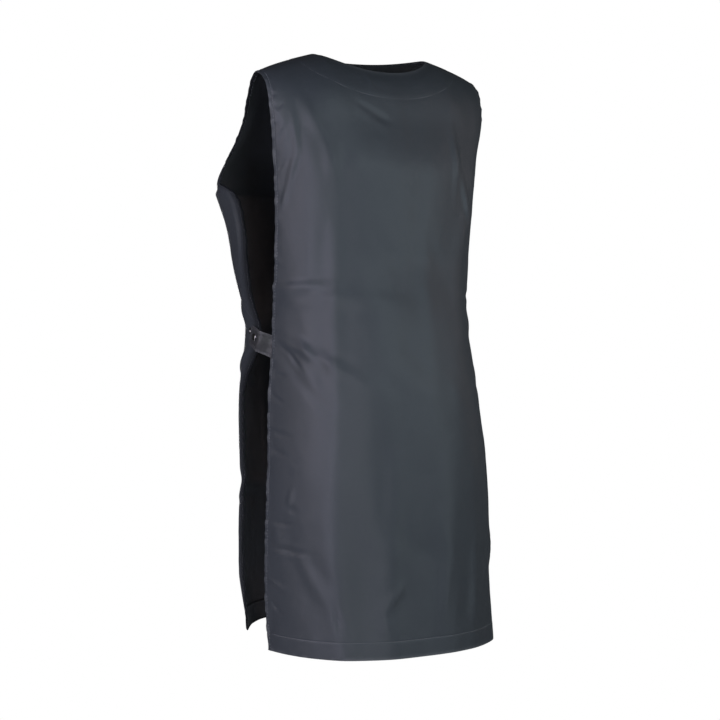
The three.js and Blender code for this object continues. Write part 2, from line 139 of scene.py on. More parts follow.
# Columns: across, depth, lean in degrees, run, breadth, rise. The last three are shares of
# FOLD_RUN, FOLD_BREADTH and FOLD_RISE, and depth is a share of the panel's length.
BACK_FOLDS = [
    (0.86, 0.510, 48, 0.34, 0.42, -0.42),
    (0.80, 0.482, 62, 0.40, 0.45, 0.36),
    (0.72, 0.400, 84, 0.42, 0.60, 0.32),
    (-0.86, 0.500, -50, 0.34, 0.45, -0.40),
    (-0.78, 0.440, -70, 0.36, 0.55, 0.30),
    (0.81, 0.150, -4, 0.50, 0.90, -0.40),
    (-0.58, 0.290, -16, 0.62, 0.80, 0.36),
    (0.54, 0.900, 2, 0.66, 1.00, 0.48),
    (0.24, 0.900, 0, 0.60, 1.00, 0.42),
    (-0.16, 0.880, -2, 0.60, 1.10, 0.40),
    (-0.66, 0.860, -4, 0.70, 1.10, 0.55),
]
FRONT_FOLDS = both_sides([
    (0.93, 0.290, 3, 0.30, 0.36, -0.36),
    (0.72, 0.450, -58, 0.36, 0.50, 0.36),
    (0.70, 0.545, 52, 0.36, 0.50, 0.34),
]) + [
    (0.62, 0.750, 82, 0.34, 0.60, -0.40),
    (0.34, 0.640, 6, 0.95, 1.10, 0.70),
    (-0.38, 0.620, -8, 0.95, 1.10, 0.70),
    (0.02, 0.840, 0, 0.70, 1.20, 0.60),
]

# %% [markdown]
# ## Small creases
# On top of the broad folds the cloth has small creases, which the photograph shows as short
# dark lines: fans where each tab pulls, wrinkles under the neck, and soft breaks above the
# hem. Each is one row: where its middle is, which way it leans, and its own run, breadth and
# rise in millimetres.

# %% Creases
# Columns: across, depth, lean in degrees, run_mm, breadth_mm, rise_mm.
BACK_CREASES = [
    (0.71, 0.109, 29, 34, 14.0, 2.6),
    (0.60, 0.178, 11, 31, 14.0, 2.6),
    (0.55, 0.425, 1, 180, 16.0, 3.2),
    (-0.14, 0.393, -5, 190, 20.0, 1.4),
    (0.83, 0.137, 5, 24, 7.0, 2.6),
    (0.855, 0.194, -16, 27, 7.0, 2.6),
    (0.915, 0.242, -21, 16, 6.0, 2.2),
    (0.92, 0.139, -30, 10, 4.0, -1.6),
    (0.93, 0.092, -37, 6, 4.0, -1.4),
    (0.94, 0.190, -36, 10, 4.0, -1.4),
    (0.24, 0.044, 6, 7, 3.6, -1.8),
    (0.15, 0.054, 5, 8, 4.0, -1.9),
    (0.28, 0.091, 60, 16, 7.0, -1.0),
    (0.16, 0.107, 61, 14, 9.0, -1.4),
    (0.75, 0.386, 92, 42, 8.0, 1.2),
    (0.86, 0.404, 4, 15, 28.0, 3.0),
    (0.72, 0.492, 25, 22, 16.0, 2.2),
    (0.90, 0.800, 10, 18, 18.0, 2.2),
    (0.76, 0.403, 92, 34, 13.0, -2.2),
    (0.84, 0.485, 70, 28, 7.0, 1.8),
    (0.913, 0.488, 61, 15, 4.5, -2.4),
    (0.806, 0.510, 45, 17, 5.0, -2.8),
    (0.675, 0.495, 36, 28, 9.0, -1.8),
    (0.69, 0.550, 48, 34, 12.6, 2.2),
    (0.89, 0.536, -87, 10, 4.0, -1.5),
    (0.925, 0.574, 67, 12, 5.0, -1.4),
    (0.90, 0.631, 79, 19, 6.0, -1.5),
    (0.91, 0.661, 73, 14, 6.0, -1.3),
    (0.81, 0.736, -16, 15, 7.0, 1.8),
    (0.81, 0.753, 68, 11, 7.0, -1.2),
    (0.88, 0.778, 87, 18, 5.0, -2.4),
    (0.84, 0.822, 85, 28, 6.0, -2.8),
    (0.67, 0.870, 32, 41, 15.0, 2.6),
    (0.895, 0.882, 69, 16, 6.0, 1.6),
    (0.915, 0.917, 50, 12, 5.0, -1.8),
    (0.54, 0.935, 8, 19, 7.0, -2.4),
    (0.225, 0.901, -41, 23, 10.0, 2.6),
    (0.28, 0.944, 0, 20, 9.0, 2.2),
    (-0.11, 0.907, -10, 61, 12.0, 2.2),
    (0.27, 0.730, -1, 64, 16.0, -1.8),
    (-0.475, 0.172, -2, 46, 9.0, 2.8),
    (-0.60, 0.250, 20, 50, 9.0, 2.6),
    (-0.74, 0.195, 60, 10, 4.0, -1.5),
    (-0.93, 0.190, 40, 11, 4.5, -1.6),
    (-0.91, 0.488, -61, 15, 4.5, -2.2),
    (-0.81, 0.510, -45, 17, 5.0, -2.4),
    (-0.84, 0.485, -70, 28, 7.0, 1.5),
    (-0.70, 0.495, -38, 30, 9.0, -1.6),
    (-0.73, 0.405, -88, 36, 8.0, -1.5),
    (-0.86, 0.800, -70, 26, 8.0, -2.2),
    (-0.62, 0.850, -28, 46, 10.0, 2.4),
    (-0.38, 0.880, -6, 70, 13.0, 2.2),
]
FRONT_CREASES = both_sides([
    (0.965, 0.268, 6, 26, 4.5, -1.8),
    (0.90, 0.300, 4, 40, 8.0, 1.6),
    (0.84, 0.530, 52, 36, 6.0, -2.4),
    (0.84, 0.450, -58, 36, 6.0, -2.2),
    (0.62, 0.300, 30, 60, 9.0, -1.8),
]) + [
    (0.975, 0.330, 0, 34, 4.5, -2.2),
    (-0.975, 0.330, 0, 34, 4.5, -2.0),
    (0.89, 0.777, 80, 22, 6.0, -2.0),
    (-0.88, 0.800, -74, 24, 6.0, -1.8),
    (0.30, 0.420, -24, 80, 12.0, -1.8),
    (-0.26, 0.440, 20, 80, 12.0, -1.8),
    (0.15, 0.560, 14, 90, 12.0, -1.8),
    (-0.18, 0.600, -12, 90, 12.0, -1.6),
    (0.50, 0.860, 8, 70, 13.0, -2.4),
    (-0.52, 0.850, -8, 70, 13.0, -2.4),
]
print(len(BACK_CREASES), "creases on the back and", len(FRONT_CREASES), "on the front")


# %% The two panels
# How far the cloth's side edge lies inside the section's end. Columns: depth and inside, both
# in metres.
BACK_TRIM = np.array([(0, 0), (0.5, 0), (0.912, 0)])
FRONT_TRIM = np.array([
    (0, 0),
    (0.195, 0),
    (0.210, -0.005),
    (0.225, -0.002),
    (0.245, 0.005),
    (0.300, 0.009),
    (0.365, 0.006),
    (0.405, 0),
    (0.462, 0),
    (0.500, 0.015),
    (0.530, 0.020),
    (0.800, 0.020),
    (0.883, 0.016),
])


@dataclass
class Panel:
    """All that sets one panel apart: side is +1 at the back and -1 at the front."""
    side: int
    length: float
    neck_drop: float
    reach: float
    roll: float
    hem_rise: float
    pull: float
    sections: np.ndarray
    folds: list
    creases: list
    trim: np.ndarray
    # The edge mark's strength and width: wear on the back, painted shade on the front.
    wear_and_shade_strength: float
    fade: float
    seed: int


BACK = Panel(
    side=1, length=0.912, neck_drop=0.027, reach=0.166, roll=0.093, hem_rise=0.008, pull=0.0,
    sections=BACK_SECTIONS, folds=BACK_FOLDS, creases=BACK_CREASES, trim=BACK_TRIM,
    wear_and_shade_strength=0.9, fade=0.0045, seed=11)
# On the front the edge mark is painted shade, widest (18 mm) along the side edges.
FRONT = Panel(
    side=-1, length=0.883, neck_drop=0.008, reach=0.220, roll=0.198, hem_rise=0.0,
    pull=TAB_PULL, sections=FRONT_SECTIONS, folds=FRONT_FOLDS, creases=FRONT_CREASES,
    trim=FRONT_TRIM, wear_and_shade_strength=1.0, fade=0.018, seed=23)
print("lengths", BACK.length, FRONT.length)

# %% [markdown]
# ## From a place on the cloth to a point in space
# A place on a panel is two numbers: across, from -1 at one side edge to 1 at the other, and
# depth, how far it hangs below the shoulders. The functions below turn whole arrays of places
# into points at once, which is why they use numpy instead of a loop over vertices.


# %% Smooth steps and tables
def smooth(share):
    return share * share * (3 - 2 * share)


def table_values(rows, depth):
    """Every column of a table at each depth share, on smooth curves without overshoot."""
    spans = np.diff(rows[:, 0])
    slopes = np.diff(rows[:, 1:], axis=0) / spans[:, None]
    above, below = slopes[:-1], slopes[1:]
    agree = above * below > 0
    safe_above = np.where(agree, above, 1.0)
    safe_below = np.where(agree, below, 1.0)
    blend = spans[:-1, None] / safe_below + spans[1:, None] / safe_above
    inner = np.where(agree, (spans[:-1] + spans[1:])[:, None] / blend, 0.0)
    tangents = np.vstack([slopes[:1], inner, slopes[-1:]])
    share = np.clip(depth, rows[0, 0], rows[-1, 0])
    k = np.clip(np.searchsorted(rows[:, 0], share, side="right") - 1, 0, len(spans) - 1)
    t = ((share - rows[k, 0]) / spans[k])[:, None]
    rise = rows[k, 1:] * (1 - smooth(t)) + rows[k + 1, 1:] * smooth(t)
    bend = tangents[k] * t * (1 - t) ** 2 - tangents[k + 1] * t * t * (1 - t)
    return (rise + spans[k][:, None] * bend).T


# %% Edges of a panel
def ridge_depth(from_middle):
    """Depth of the shoulder seam at a distance from the middle."""
    share = np.clip((from_middle - NECK_HALF) / (SHOULDER_HALF - NECK_HALF), 0, 1)
    return SHOULDER_DROP * (STRAIGHT_SHARE * share + (1 - STRAIGHT_SHARE) * share ** 3)


def top_depth(panel, across):
    from_middle = np.abs(across) * SHOULDER_HALF
    share = np.minimum(from_middle / NECK_HALF, 1)
    return ridge_depth(from_middle) + panel.neck_drop * (1 - share ** NECK_POWER)


def hem_depth(panel, across):
    return panel.length - panel.hem_rise * np.abs(across) ** HEM_POWER


# %% One horizontal section
ARC_STEPS = np.linspace(0, 1, 121)


def section_points(panel, across, depth):
    """x, y and the half arc's length at each place."""
    width, edge, centre, wrap, square = table_values(panel.sections, depth / panel.length)
    edge, centre = edge * panel.reach, centre * panel.reach
    wrap = np.radians(wrap)[:, None]
    power = (2 / square)[:, None]
    turn = wrap * ARC_STEPS
    x = (width * BODY_HALF)[:, None] * np.sin(turn) ** power / np.sin(wrap) ** power
    edge_cos = np.cos(wrap) ** power
    lift = (np.cos(turn) ** power - edge_cos) / (1 - edge_cos)
    y = edge[:, None] + (centre - edge)[:, None] * lift
    steps = np.hypot(np.diff(x, axis=1), np.diff(y, axis=1))
    run = np.concatenate([np.zeros((len(x), 1)), np.cumsum(steps, axis=1)], axis=1)
    half_arc = run[:, -1] - table_values(panel.trim, depth)[0]
    wanted = np.minimum(np.abs(across), 1) * half_arc
    k = np.clip((run < wanted[:, None]).sum(axis=1) - 1, 0, len(ARC_STEPS) - 2)
    here = np.arange(len(x))
    t = (wanted - run[here, k]) / steps[here, k]
    x_at = x[here, k] * (1 - t) + x[here, k + 1] * t
    y_at = y[here, k] * (1 - t) + y[here, k + 1] * t
    return np.sign(across) * x_at, y_at, half_arc


def half_arc_at(panel, depth):
    depth = np.atleast_1d(np.asarray(depth, float))
    return section_points(panel, np.ones_like(depth), depth)[2]


print("half widths of the cloth", half_arc_at(BACK, [0.1, 0.4, 0.9]).round(3))


# %% The smooth sheet
def smooth_points(panel, across, depth):
    """The middle of the cloth before its folds, rolled over the shoulder near the seam."""
    seam_x = across * SHOULDER_HALF
    below = np.clip((depth - ridge_depth(np.abs(seam_x))) / panel.roll, 0, 1)
    rolled = np.sqrt(1 - (1 - below) ** 2)
    x, y, half_arc = section_points(panel, across, depth)
    reach_down = np.where(depth < TAB_LEVEL, PULL_ABOVE, PULL_BELOW)
    level = np.exp(-((depth - TAB_LEVEL) / reach_down) ** 2)
    near = np.clip(1 - (1 - np.abs(across)) * half_arc / PULL_INWARD, 0, 1)
    forward = y * rolled - panel.pull * level * smooth(near)
    x = seam_x + (x - seam_x) * smooth(below)
    return np.stack([x, panel.side * (SEAM_GAP / 2 + forward), -depth], axis=1)


def outward(panel, across, depth):
    """Unit normals that point out of the garment."""
    reach_aside, reach_down = 0.01, 0.00002
    left = smooth_points(panel, np.maximum(across - reach_aside, -1), depth)
    right = smooth_points(panel, np.minimum(across + reach_aside, 1), depth)
    high = smooth_points(panel, across, np.maximum(depth - reach_down, top_depth(panel, across)))
    low = smooth_points(panel, across, depth + reach_down)
    normal = np.cross(right - left, low - high) * panel.side
    return normal / np.linalg.norm(normal, axis=1, keepdims=True)


# %% [markdown]
# ## Relief of the cloth
# Folds, creases, seam grooves and puckers all push the cloth along its outward normal, so one
# height in metres holds them all. Thread pulls cloth together as it is sewn, so every seam
# lies in a shallow groove with small puckers beside it. The hills of the random part come
# from a seeded table, so each run gives the same cloth.


# %% Soft random hills
def soft_noise(u, v, seed):
    """Smooth hills between -1 and 1, about one for each unit of u and of v."""
    size = 64
    heights = np.random.default_rng(seed).uniform(-1, 1, (size, size))
    column, row = np.floor(u).astype(int), np.floor(v).astype(int)
    s, t = smooth(u - column), smooth(v - row)

    def corner(right, down):
        return heights[(column + right) % size, (row + down) % size]

    high = corner(0, 0) * (1 - s) + corner(1, 0) * s
    low = corner(0, 1) * (1 - s) + corner(1, 1) * s
    return high * (1 - t) + low * t


# %% Folds
def ridge(aside, down, lean, run, breadth):
    """Height from 0 to 1 of one straight fold, with a shallow dip along both its sides."""
    along = (down * math.cos(lean) - aside * math.sin(lean)) / run
    beside = (aside * math.cos(lean) + down * math.sin(lean)) / breadth
    return (1 - beside ** 2) * np.exp(-beside ** 2 - along ** 2)


def ridges(panel, rows, across, depth, half_arc, run_unit, breadth_unit, rise_unit):
    """The height of all the folds of a table, in metres."""
    height = np.zeros_like(depth)
    for place, share, lean, run, breadth, rise in rows:
        height += rise * rise_unit * ridge(
            (across - place) * half_arc, depth - share * panel.length, math.radians(lean),
            run * run_unit, breadth * breadth_unit)
    return height


def tab_distance(across, depth, half_arc):
    """Metres from the place where the tab crosses the panel's side edge."""
    return np.hypot((1 - np.abs(across)) * half_arc, depth - TAB_LEVEL)


def fold_height(panel, across, depth, half_arc):
    broad = ridges(panel, panel.folds, across, depth, half_arc,
                   FOLD_RUN, FOLD_BREADTH, FOLD_RISE)
    small = ridges(panel, panel.creases, across, depth, half_arc, 0.001, 0.001, 0.001)
    from_tab = tab_distance(across, depth, half_arc)
    held = np.exp(-(from_tab / TAB_HOLD) ** 2)
    close = np.exp(-(from_tab / TAB_CLOSE) ** 2)
    return broad * (1 - held) + small * (1 - close)


# %% Seams
STITCH_FROM_EDGE = 0.0050
STITCH_FROM_HEM = 0.0262
STITCH_IN_FACING = 0.0022
GROOVE_HALF = 0.0010
GROOVE_DEEP = 0.00045
NECK_SAMPLES = np.linspace(0, NECK_HALF, 61)
SHOULDER_CLEAR = 0.004


def facing_inset(panel, across, depth):
    """How far inside the facing's edge a place is; the edge runs parallel to the neckline."""
    drop = top_depth(panel, NECK_SAMPLES / SHOULDER_HALF)
    aside = np.abs(across)[:, None] * SHOULDER_HALF - NECK_SAMPLES
    return FACING_DEPTH - np.hypot(aside, depth[:, None] - drop).min(axis=1)


def facing_line(panel, reach):
    """Across and depth of the line at one distance from the neckline, middle to shoulder."""
    drop = top_depth(panel, NECK_SAMPLES / SHOULDER_HALF)
    slope = np.gradient(drop, NECK_SAMPLES)
    long = np.hypot(slope, 1)
    turn = np.linspace(math.atan(-slope[-1]), math.pi / 2, 40)[1:]
    x = np.concatenate([NECK_SAMPLES - reach * slope / long, NECK_HALF + reach * np.sin(turn)])
    depth = np.concatenate([drop + reach / long, reach * np.cos(turn)])
    on_cloth = depth > ridge_depth(x) + SHOULDER_CLEAR
    return x[on_cloth] / SHOULDER_HALF, depth[on_cloth]


# %% Puckers and steps at the seams
EDGE_PUCKER_RISE, EDGE_PUCKER_LONG, EDGE_PUCKER_WIDE = 0.00125, 0.0056, 0.009
EDGE_PUCKER_REACH = 0.007
HEM_PUCKER_RISE, HEM_PUCKER_LONG, HEM_PUCKER_WIDE = 0.00065, 0.0095, 0.02
HEM_PUCKER_REACH = 0.013
FACING_STEP, HEM_STEP, SIDE_STEP = 0.00030, 0.00030, 0.00025
FACING_SLOPE, HEM_SLOPE = 0.004, 0.003


def edge_hills(panel, across, depth, from_edge):
    """The random row of puckers along a side edge, from -1 to 1."""
    return soft_noise(depth / EDGE_PUCKER_LONG + np.sign(across) * 7,
                      from_edge / EDGE_PUCKER_WIDE, panel.seed)


def seam_height(panel, across, depth, half_arc):
    from_edge = (1 - np.abs(across)) * half_arc
    from_hem = hem_depth(panel, across) - depth
    inset = facing_inset(panel, across, depth)

    def groove(distance):
        return -GROOVE_DEEP * np.exp(-(distance / GROOVE_HALF) ** 2)

    def step(rise, inside, slope):
        return rise * smooth(np.clip(inside / slope, 0, 1))

    edge_pucker = EDGE_PUCKER_RISE * edge_hills(panel, across, depth, from_edge)
    edge_pucker *= np.exp(-((from_edge - 0.6 * STITCH_FROM_EDGE) / EDGE_PUCKER_REACH) ** 2)
    slant = (across * half_arc + 0.5 * from_hem) / HEM_PUCKER_LONG
    hem_pucker = HEM_PUCKER_RISE * soft_noise(slant + 40, from_hem / HEM_PUCKER_WIDE,
                                              panel.seed + 1)
    hem_pucker *= np.exp(-((from_hem - STITCH_FROM_HEM) / HEM_PUCKER_REACH) ** 2)
    return (groove(from_edge - STITCH_FROM_EDGE) + groove(from_hem - STITCH_FROM_HEM)
            + groove(inset - STITCH_IN_FACING) + edge_pucker + hem_pucker
            + step(FACING_STEP, inset, FACING_SLOPE)
            + step(HEM_STEP, BOTTOM_HEM - from_hem, HEM_SLOPE)
            + step(SIDE_STEP, SIDE_HEM - from_edge, HEM_SLOPE))


# %% Wrinkles that no other table names
# Columns: rise, wide and tall in metres, warp across, warp down, seed after the panel's own.
WRINKLES = [
    (0.00130, 0.055, 0.105, 1, 1, 2),
    (0.00060, 0.024, 0.040, 1, 0, 3),
    (0.00012, 0.008, 0.011, 0, 0, 4),
]
WARP_RISE, WARP_WIDE = 0.020, 0.09
SEAM_EASE = 0.020


def wrinkle_height(panel, across, depth, half_arc):
    aside = across * half_arc
    warp = WARP_RISE * soft_noise(aside / WARP_WIDE, depth / WARP_WIDE, panel.seed + 5)
    height = np.zeros_like(depth)
    for rise, wide, tall, warp_across, warp_down, seed in WRINKLES:
        height += rise * soft_noise((aside + warp * warp_across) / wide,
                                    (depth + warp * warp_down) / tall, panel.seed + seed)
    return height


def relief(panel, across, depth, half_arc):
    """The height of everything on the cloth; folds and wrinkles fade towards the shoulders."""
    from_tab = tab_distance(across, depth, half_arc)
    free = 1 - 0.8 * np.exp(-(from_tab / TAB_CLOSE) ** 2)
    seam_ease = smooth(np.clip((depth - top_depth(panel, across)) / SEAM_EASE, 0, 1))
    return (fold_height(panel, across, depth, half_arc) * seam_ease
            + seam_height(panel, across, depth, half_arc)
            + wrinkle_height(panel, across, depth, half_arc) * free * seam_ease)


def cloth_points(panel, across, depth, offset):
    """Points of the cloth, moved out from its middle by an offset."""
    across = np.asarray(across, float)
    depth = np.broadcast_to(np.asarray(depth, float), across.shape)
    half_arc = half_arc_at(panel, depth)
    lift = offset + relief(panel, across, depth, half_arc)
    return smooth_points(panel, across, depth) + outward(panel, across, depth) * lift[:, None]


# %% [markdown]
# ## Materials
# Twill is woven in fine diagonal ribs, less than a millimetre apart. Up close they show, and
# further off they only soften the light. The rib pattern comes from a wave over the cloth's
# own flat coordinates, so it follows the fabric over every fold. Wide soft noise gives the
# uneven tone of washed workwear. A vertex attribute marks the edges. On the back, the tabs and
# the facings it is wear, and the edges are paler. On the front it is painted shade: the edges
# are painted nearly black and given less gloss, widest along the side edges.

# %% Helpers for materials
FLAT_MAP = "flat_cloth"
# One attribute marks the edges: wear on the back, the tabs and the facings, painted shade on the
# front.
WEAR_AND_SHADE_ATTRIBUTE = "wear_and_shade_mark"


def new_finish(name, roughness, metallic=0.0):
    finish = bpy.data.materials.new(name)
    finish.use_nodes = True
    tree = finish.node_tree
    shader = tree.nodes["Principled BSDF"]
    shader.inputs["Roughness"].default_value = roughness
    shader.inputs["Metallic"].default_value = metallic
    return finish, tree, shader


def feed(tree, node, **sockets):
    """Sets a node's inputs by name, each to a plain value or to another node's output."""
    for name, value in sockets.items():
        socket = node.inputs[name.replace("_", " ")]
        if isinstance(value, bpy.types.NodeSocket):
            tree.links.new(value, socket)
        else:
            socket.default_value = value
    return node


def add_node(tree, kind, **sockets):
    return feed(tree, tree.nodes.new("ShaderNode" + kind), **sockets)


def mix_colours(tree, factor, low, high):
    """A mix of two colours; each may be a colour or a socket that gives one."""
    node = add_node(tree, "Mix")
    node.data_type = "RGBA"
    tree.links.new(factor, node.inputs[0])
    for socket, colour in ((node.inputs[6], low), (node.inputs[7], high)):
        if isinstance(colour, bpy.types.NodeSocket):
            tree.links.new(colour, socket)
        else:
            socket.default_value = (*colour, 1)
    return node.outputs[2]


def multiplied(tree, value, factor):
    node = add_node(tree, "Math", Value=factor)
    node.operation = "MULTIPLY"
    tree.links.new(value, node.inputs[1])
    return node.outputs[0]


# %% Twill
RIB_SPACING = 0.00085
SPACING_AT_ONE = 2 * math.pi / (10 * math.sqrt(2))
RIB_SCALE = SPACING_AT_ONE / RIB_SPACING
GLOSS = 0.50


def twill_finish(name, deep, pale, wear_and_shade, edge_gloss=1.0):
    finish, tree, shader = new_finish(name, 0.44)
    flat = add_node(tree, "UVMap")
    flat.uv_map = FLAT_MAP
    uv = flat.outputs["UV"]
    ribs = add_node(tree, "TexWave", Vector=uv, Scale=RIB_SCALE, Distortion=0.8,
                    Detail=1.0, Detail_Scale=2.0)
    ribs.bands_direction = "DIAGONAL"
    yarn = add_node(tree, "TexNoise", Vector=uv, Scale=1500.0, Detail=2.0).outputs["Fac"]
    slub = add_node(tree, "TexNoise", Vector=uv, Scale=160.0, Detail=3.0).outputs["Fac"]
    place = add_node(tree, "TexCoord").outputs["Object"]
    tone = add_node(tree, "TexNoise", Vector=place, Scale=9.0, Detail=4.0).outputs["Fac"]
    wear_and_shade_mark = add_node(tree, "Attribute")
    wear_and_shade_mark.attribute_name = WEAR_AND_SHADE_ATTRIBUTE
    ground = mix_colours(tree, tone, deep, pale)
    flecks = mix_colours(tree, slub, tuple(c * 0.86 for c in deep),
                         tuple(c * 1.16 for c in pale))
    cloth = mix_colours(tree, multiplied(tree, yarn, 0.45), ground, flecks)
    # The edge colour mixed in here is paler wear, except on the front, where it is painted
    # shade.
    cloth = mix_colours(tree, wear_and_shade_mark.outputs["Fac"], cloth, wear_and_shade)
    weave = add_node(tree, "Bump", Strength=0.40, Distance=0.00022,
                     Height=ribs.outputs["Fac"])
    knobs = add_node(tree, "Bump", Strength=0.25, Distance=0.00015, Height=yarn,
                     Normal=weave.outputs["Normal"])
    feed(tree, shader, Base_Color=cloth, Normal=knobs.outputs["Normal"], Sheen_Weight=0.06,
         Sheen_Roughness=0.45, Sheen_Tint=(0.80, 0.84, 0.90, 1), Specular_IOR_Level=GLOSS)
    # Along the front's painted shade the specular level drops as well.
    if edge_gloss < 1:
        gloss = add_node(tree, "MapRange", Value=wear_and_shade_mark.outputs["Fac"], To_Min=GLOSS,
                         To_Max=GLOSS * edge_gloss)
        feed(tree, shader, Specular_IOR_Level=gloss.outputs["Result"])
    return finish


CHARCOAL = (0.050, 0.058, 0.070), (0.062, 0.072, 0.086)
TWILL = twill_finish("charcoal_twill", *CHARCOAL, (0.120, 0.130, 0.145))
# The front's edge colour is nearly black: painted shade along its edges.
FRONT_TWILL_SHADED_EDGES = twill_finish("front_twill_shaded_edges", *CHARCOAL, (0.008, 0.009, 0.011), edge_gloss=0.1)
# The tab is the same twill; this darker, warmer copy is painted shade.
SHADED_TAB_TWILL = twill_finish("shaded_tab_twill", (0.040, 0.042, 0.046), (0.050, 0.051, 0.056),
                         (0.110, 0.112, 0.120))
# The facing is the same twill; this darker copy is painted shade for the inside.
SHADED_LINING = twill_finish("shaded_facing_twill", (0.042, 0.048, 0.057), (0.052, 0.059, 0.069),
                      (0.066, 0.073, 0.083))
print("twill ribs", RIB_SPACING * 1000, "mm apart")


# %% Thread and metal
def thread_finish(name, deep, pale):
    finish, tree, shader = new_finish(name, 0.50)
    place = add_node(tree, "TexCoord").outputs["Object"]
    ply = add_node(tree, "TexNoise", Vector=place, Scale=2600.0, Detail=2.0).outputs["Fac"]
    twist = add_node(tree, "Bump", Strength=0.5, Distance=0.0001, Height=ply)
    feed(tree, shader, Base_Color=mix_colours(tree, ply, deep, pale),
         Normal=twist.outputs["Normal"], Sheen_Weight=0.15)
    return finish


def nickel_finish(name, deep, pale, low, high):
    """Worn plating; low and high are its least and greatest roughness."""
    finish, tree, shader = new_finish(name, 0.30, 1.0)
    place = add_node(tree, "TexCoord").outputs["Object"]
    handling = add_node(tree, "TexNoise", Vector=place, Scale=420.0,
                        Detail=5.0).outputs["Fac"]
    dull = add_node(tree, "MapRange", Value=handling, To_Min=low, To_Max=high)
    scuffs = add_node(tree, "Bump", Strength=0.12, Distance=0.00004, Height=handling)
    feed(tree, shader, Base_Color=mix_colours(tree, handling, deep, pale),
         Roughness=dull.outputs["Result"], Normal=scuffs.outputs["Normal"])
    return finish


PALE_THREAD = thread_finish("pale_thread", (0.16, 0.17, 0.19), (0.25, 0.26, 0.29))
# The same thread, darker: painted shade for the seams of the front and the tabs.
SHADED_THREAD = thread_finish("shaded_thread", (0.070, 0.078, 0.090), (0.130, 0.140, 0.155))
NICKEL = nickel_finish("bright_nickel", (0.62, 0.62, 0.63), (0.78, 0.78, 0.79), 0.14, 0.26)

# %% [markdown]
# ## Making a sheet of cloth
# Each sheet starts as a flat grid from Blender's own grid tool. Its vertices then move to
# where a function puts them, which keeps the rows and columns of the fabric in order, and the
# flat coordinates go into a UV map in metres. A Solidify modifier gives the cloth its
# thickness inwards, with a vertex weight that doubles it where a hem is turned, and a small
# Bevel rounds the cut and folded edges.


# %% Helpers for sheets
def flat_grid(name, rows, columns):
    """A flat mesh of rows and columns, and the row and column number of each vertex."""
    bm = bmesh.new()
    bmesh.ops.create_grid(bm, x_segments=columns - 1, y_segments=rows - 1, size=1.0)
    mesh = bpy.data.meshes.new(name)
    bm.to_mesh(mesh)
    bm.free()
    places = np.empty(len(mesh.vertices) * 3)
    mesh.vertices.foreach_get("co", places)
    places = places.reshape(-1, 3)
    share = (places - places.min(axis=0)) / np.maximum(np.ptp(places, axis=0), 1e-9)
    column = np.rint(share[:, 0] * (columns - 1)).astype(int)
    row = np.rint((1 - share[:, 1]) * (rows - 1)).astype(int)
    return mesh, row, column


def shape_sheet(mesh, points, normals, flat, wear_and_shade_strength):
    """Moves the vertices, turns faces outwards, stores the flat map and the wear and painted
    shade.
    """
    mesh.vertices.foreach_set("co", points.ravel())
    mesh.update()
    first = mesh.polygons[len(mesh.polygons) // 2]
    towards = Vector(normals[first.vertices[0]])
    if first.normal.dot(towards) < 0:
        mesh.flip_normals()
    corners = np.empty(len(mesh.loops), dtype=int)
    mesh.loops.foreach_get("vertex_index", corners)
    mesh.uv_layers.new(name=FLAT_MAP).data.foreach_set("uv", flat[corners].ravel())
    mesh.attributes.new(WEAR_AND_SHADE_ATTRIBUTE, "FLOAT", "POINT").data.foreach_set("value", wear_and_shade_strength)
    mesh.shade_smooth()
    mesh.update()


def make_piece(name, mesh, finish):
    """An object in the scene that rides on the apron's one body."""
    piece = bpy.data.objects.new(name, mesh)
    bpy.context.scene.collection.objects.link(piece)
    mesh.materials.clear()
    mesh.materials.append(finish)
    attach(piece, "root")
    return piece


RIM_ANGLE = math.radians(62)


def thicken(piece, thickness, thin_share, rim):
    """Cloth inwards from the outer face; weights in the group run from thin to full."""
    wall = piece.modifiers.new("cloth_wall", "SOLIDIFY")
    wall.thickness = thickness
    wall.offset = -1
    wall.use_even_offset = False
    if thin_share < 1:
        wall.vertex_group = "hem"
        wall.thickness_vertex_group = thin_share
    edge = piece.modifiers.new("rounded_edge", "BEVEL")
    edge.width = rim
    edge.segments = 2
    edge.limit_method = "ANGLE"
    edge.angle_limit = RIM_ANGLE
    edge.use_clamp_overlap = True


# %% Rows and columns that follow the seams
def spaced(stops, step):
    """The stops, with even places between any two that are further apart than the step."""
    places = [stops[0]]
    for before, after in zip(stops, stops[1:]):
        count = max(1, math.ceil(abs(after - before) / step - 0.01))
        places += [before + (after - before) * k / count for k in range(1, count + 1)]
    return np.array(places)


# Distances in metres from the top, the hem and the side edge, close together at the seams.
TOP_ZONE = spaced([0, 0.00005, 0.0002, 0.00045, 0.0008, 0.0013, 0.002, 0.003, 0.0045, 0.0065,
                   0.009, 0.0300, 0.0312, 0.0318, 0.0324, 0.0336, 0.036, 0.060], 0.0031)
HEM_ZONE = spaced([0.034, 0.030, 0.0285, 0.0274, 0.0268, 0.0262, 0.0256, 0.0250, 0.0235,
                   0.0030, 0.0012, 0.0004, 0], 0.0030)
SIDE_ZONE = spaced([0.0175, 0.0130, 0.0105, 0.0086, 0.0070, 0.0062, 0.0056, 0.0050, 0.0044,
                    0.0038, 0.0027, 0.0013, 0.0005, 0], 0.0030)
FIELD_STEP = 0.0028
NECK_COLUMNS, FACING_COLUMNS, FIELD_COLUMNS = 19, 12, 17


def panel_rows(panel, across):
    """Depths of all rows at each place across: rows x columns."""
    top = top_depth(panel, across)
    hem = hem_depth(panel, across)
    upper, lower = top + TOP_ZONE[-1], hem - HEM_ZONE[0]
    count = round((panel.length - TOP_ZONE[-1] - HEM_ZONE[0]) / FIELD_STEP)
    shares = np.arange(1, count)[:, None] / count
    return np.vstack([top + TOP_ZONE[:, None], upper + (lower - upper) * shares,
                      hem - HEM_ZONE[:, None]])


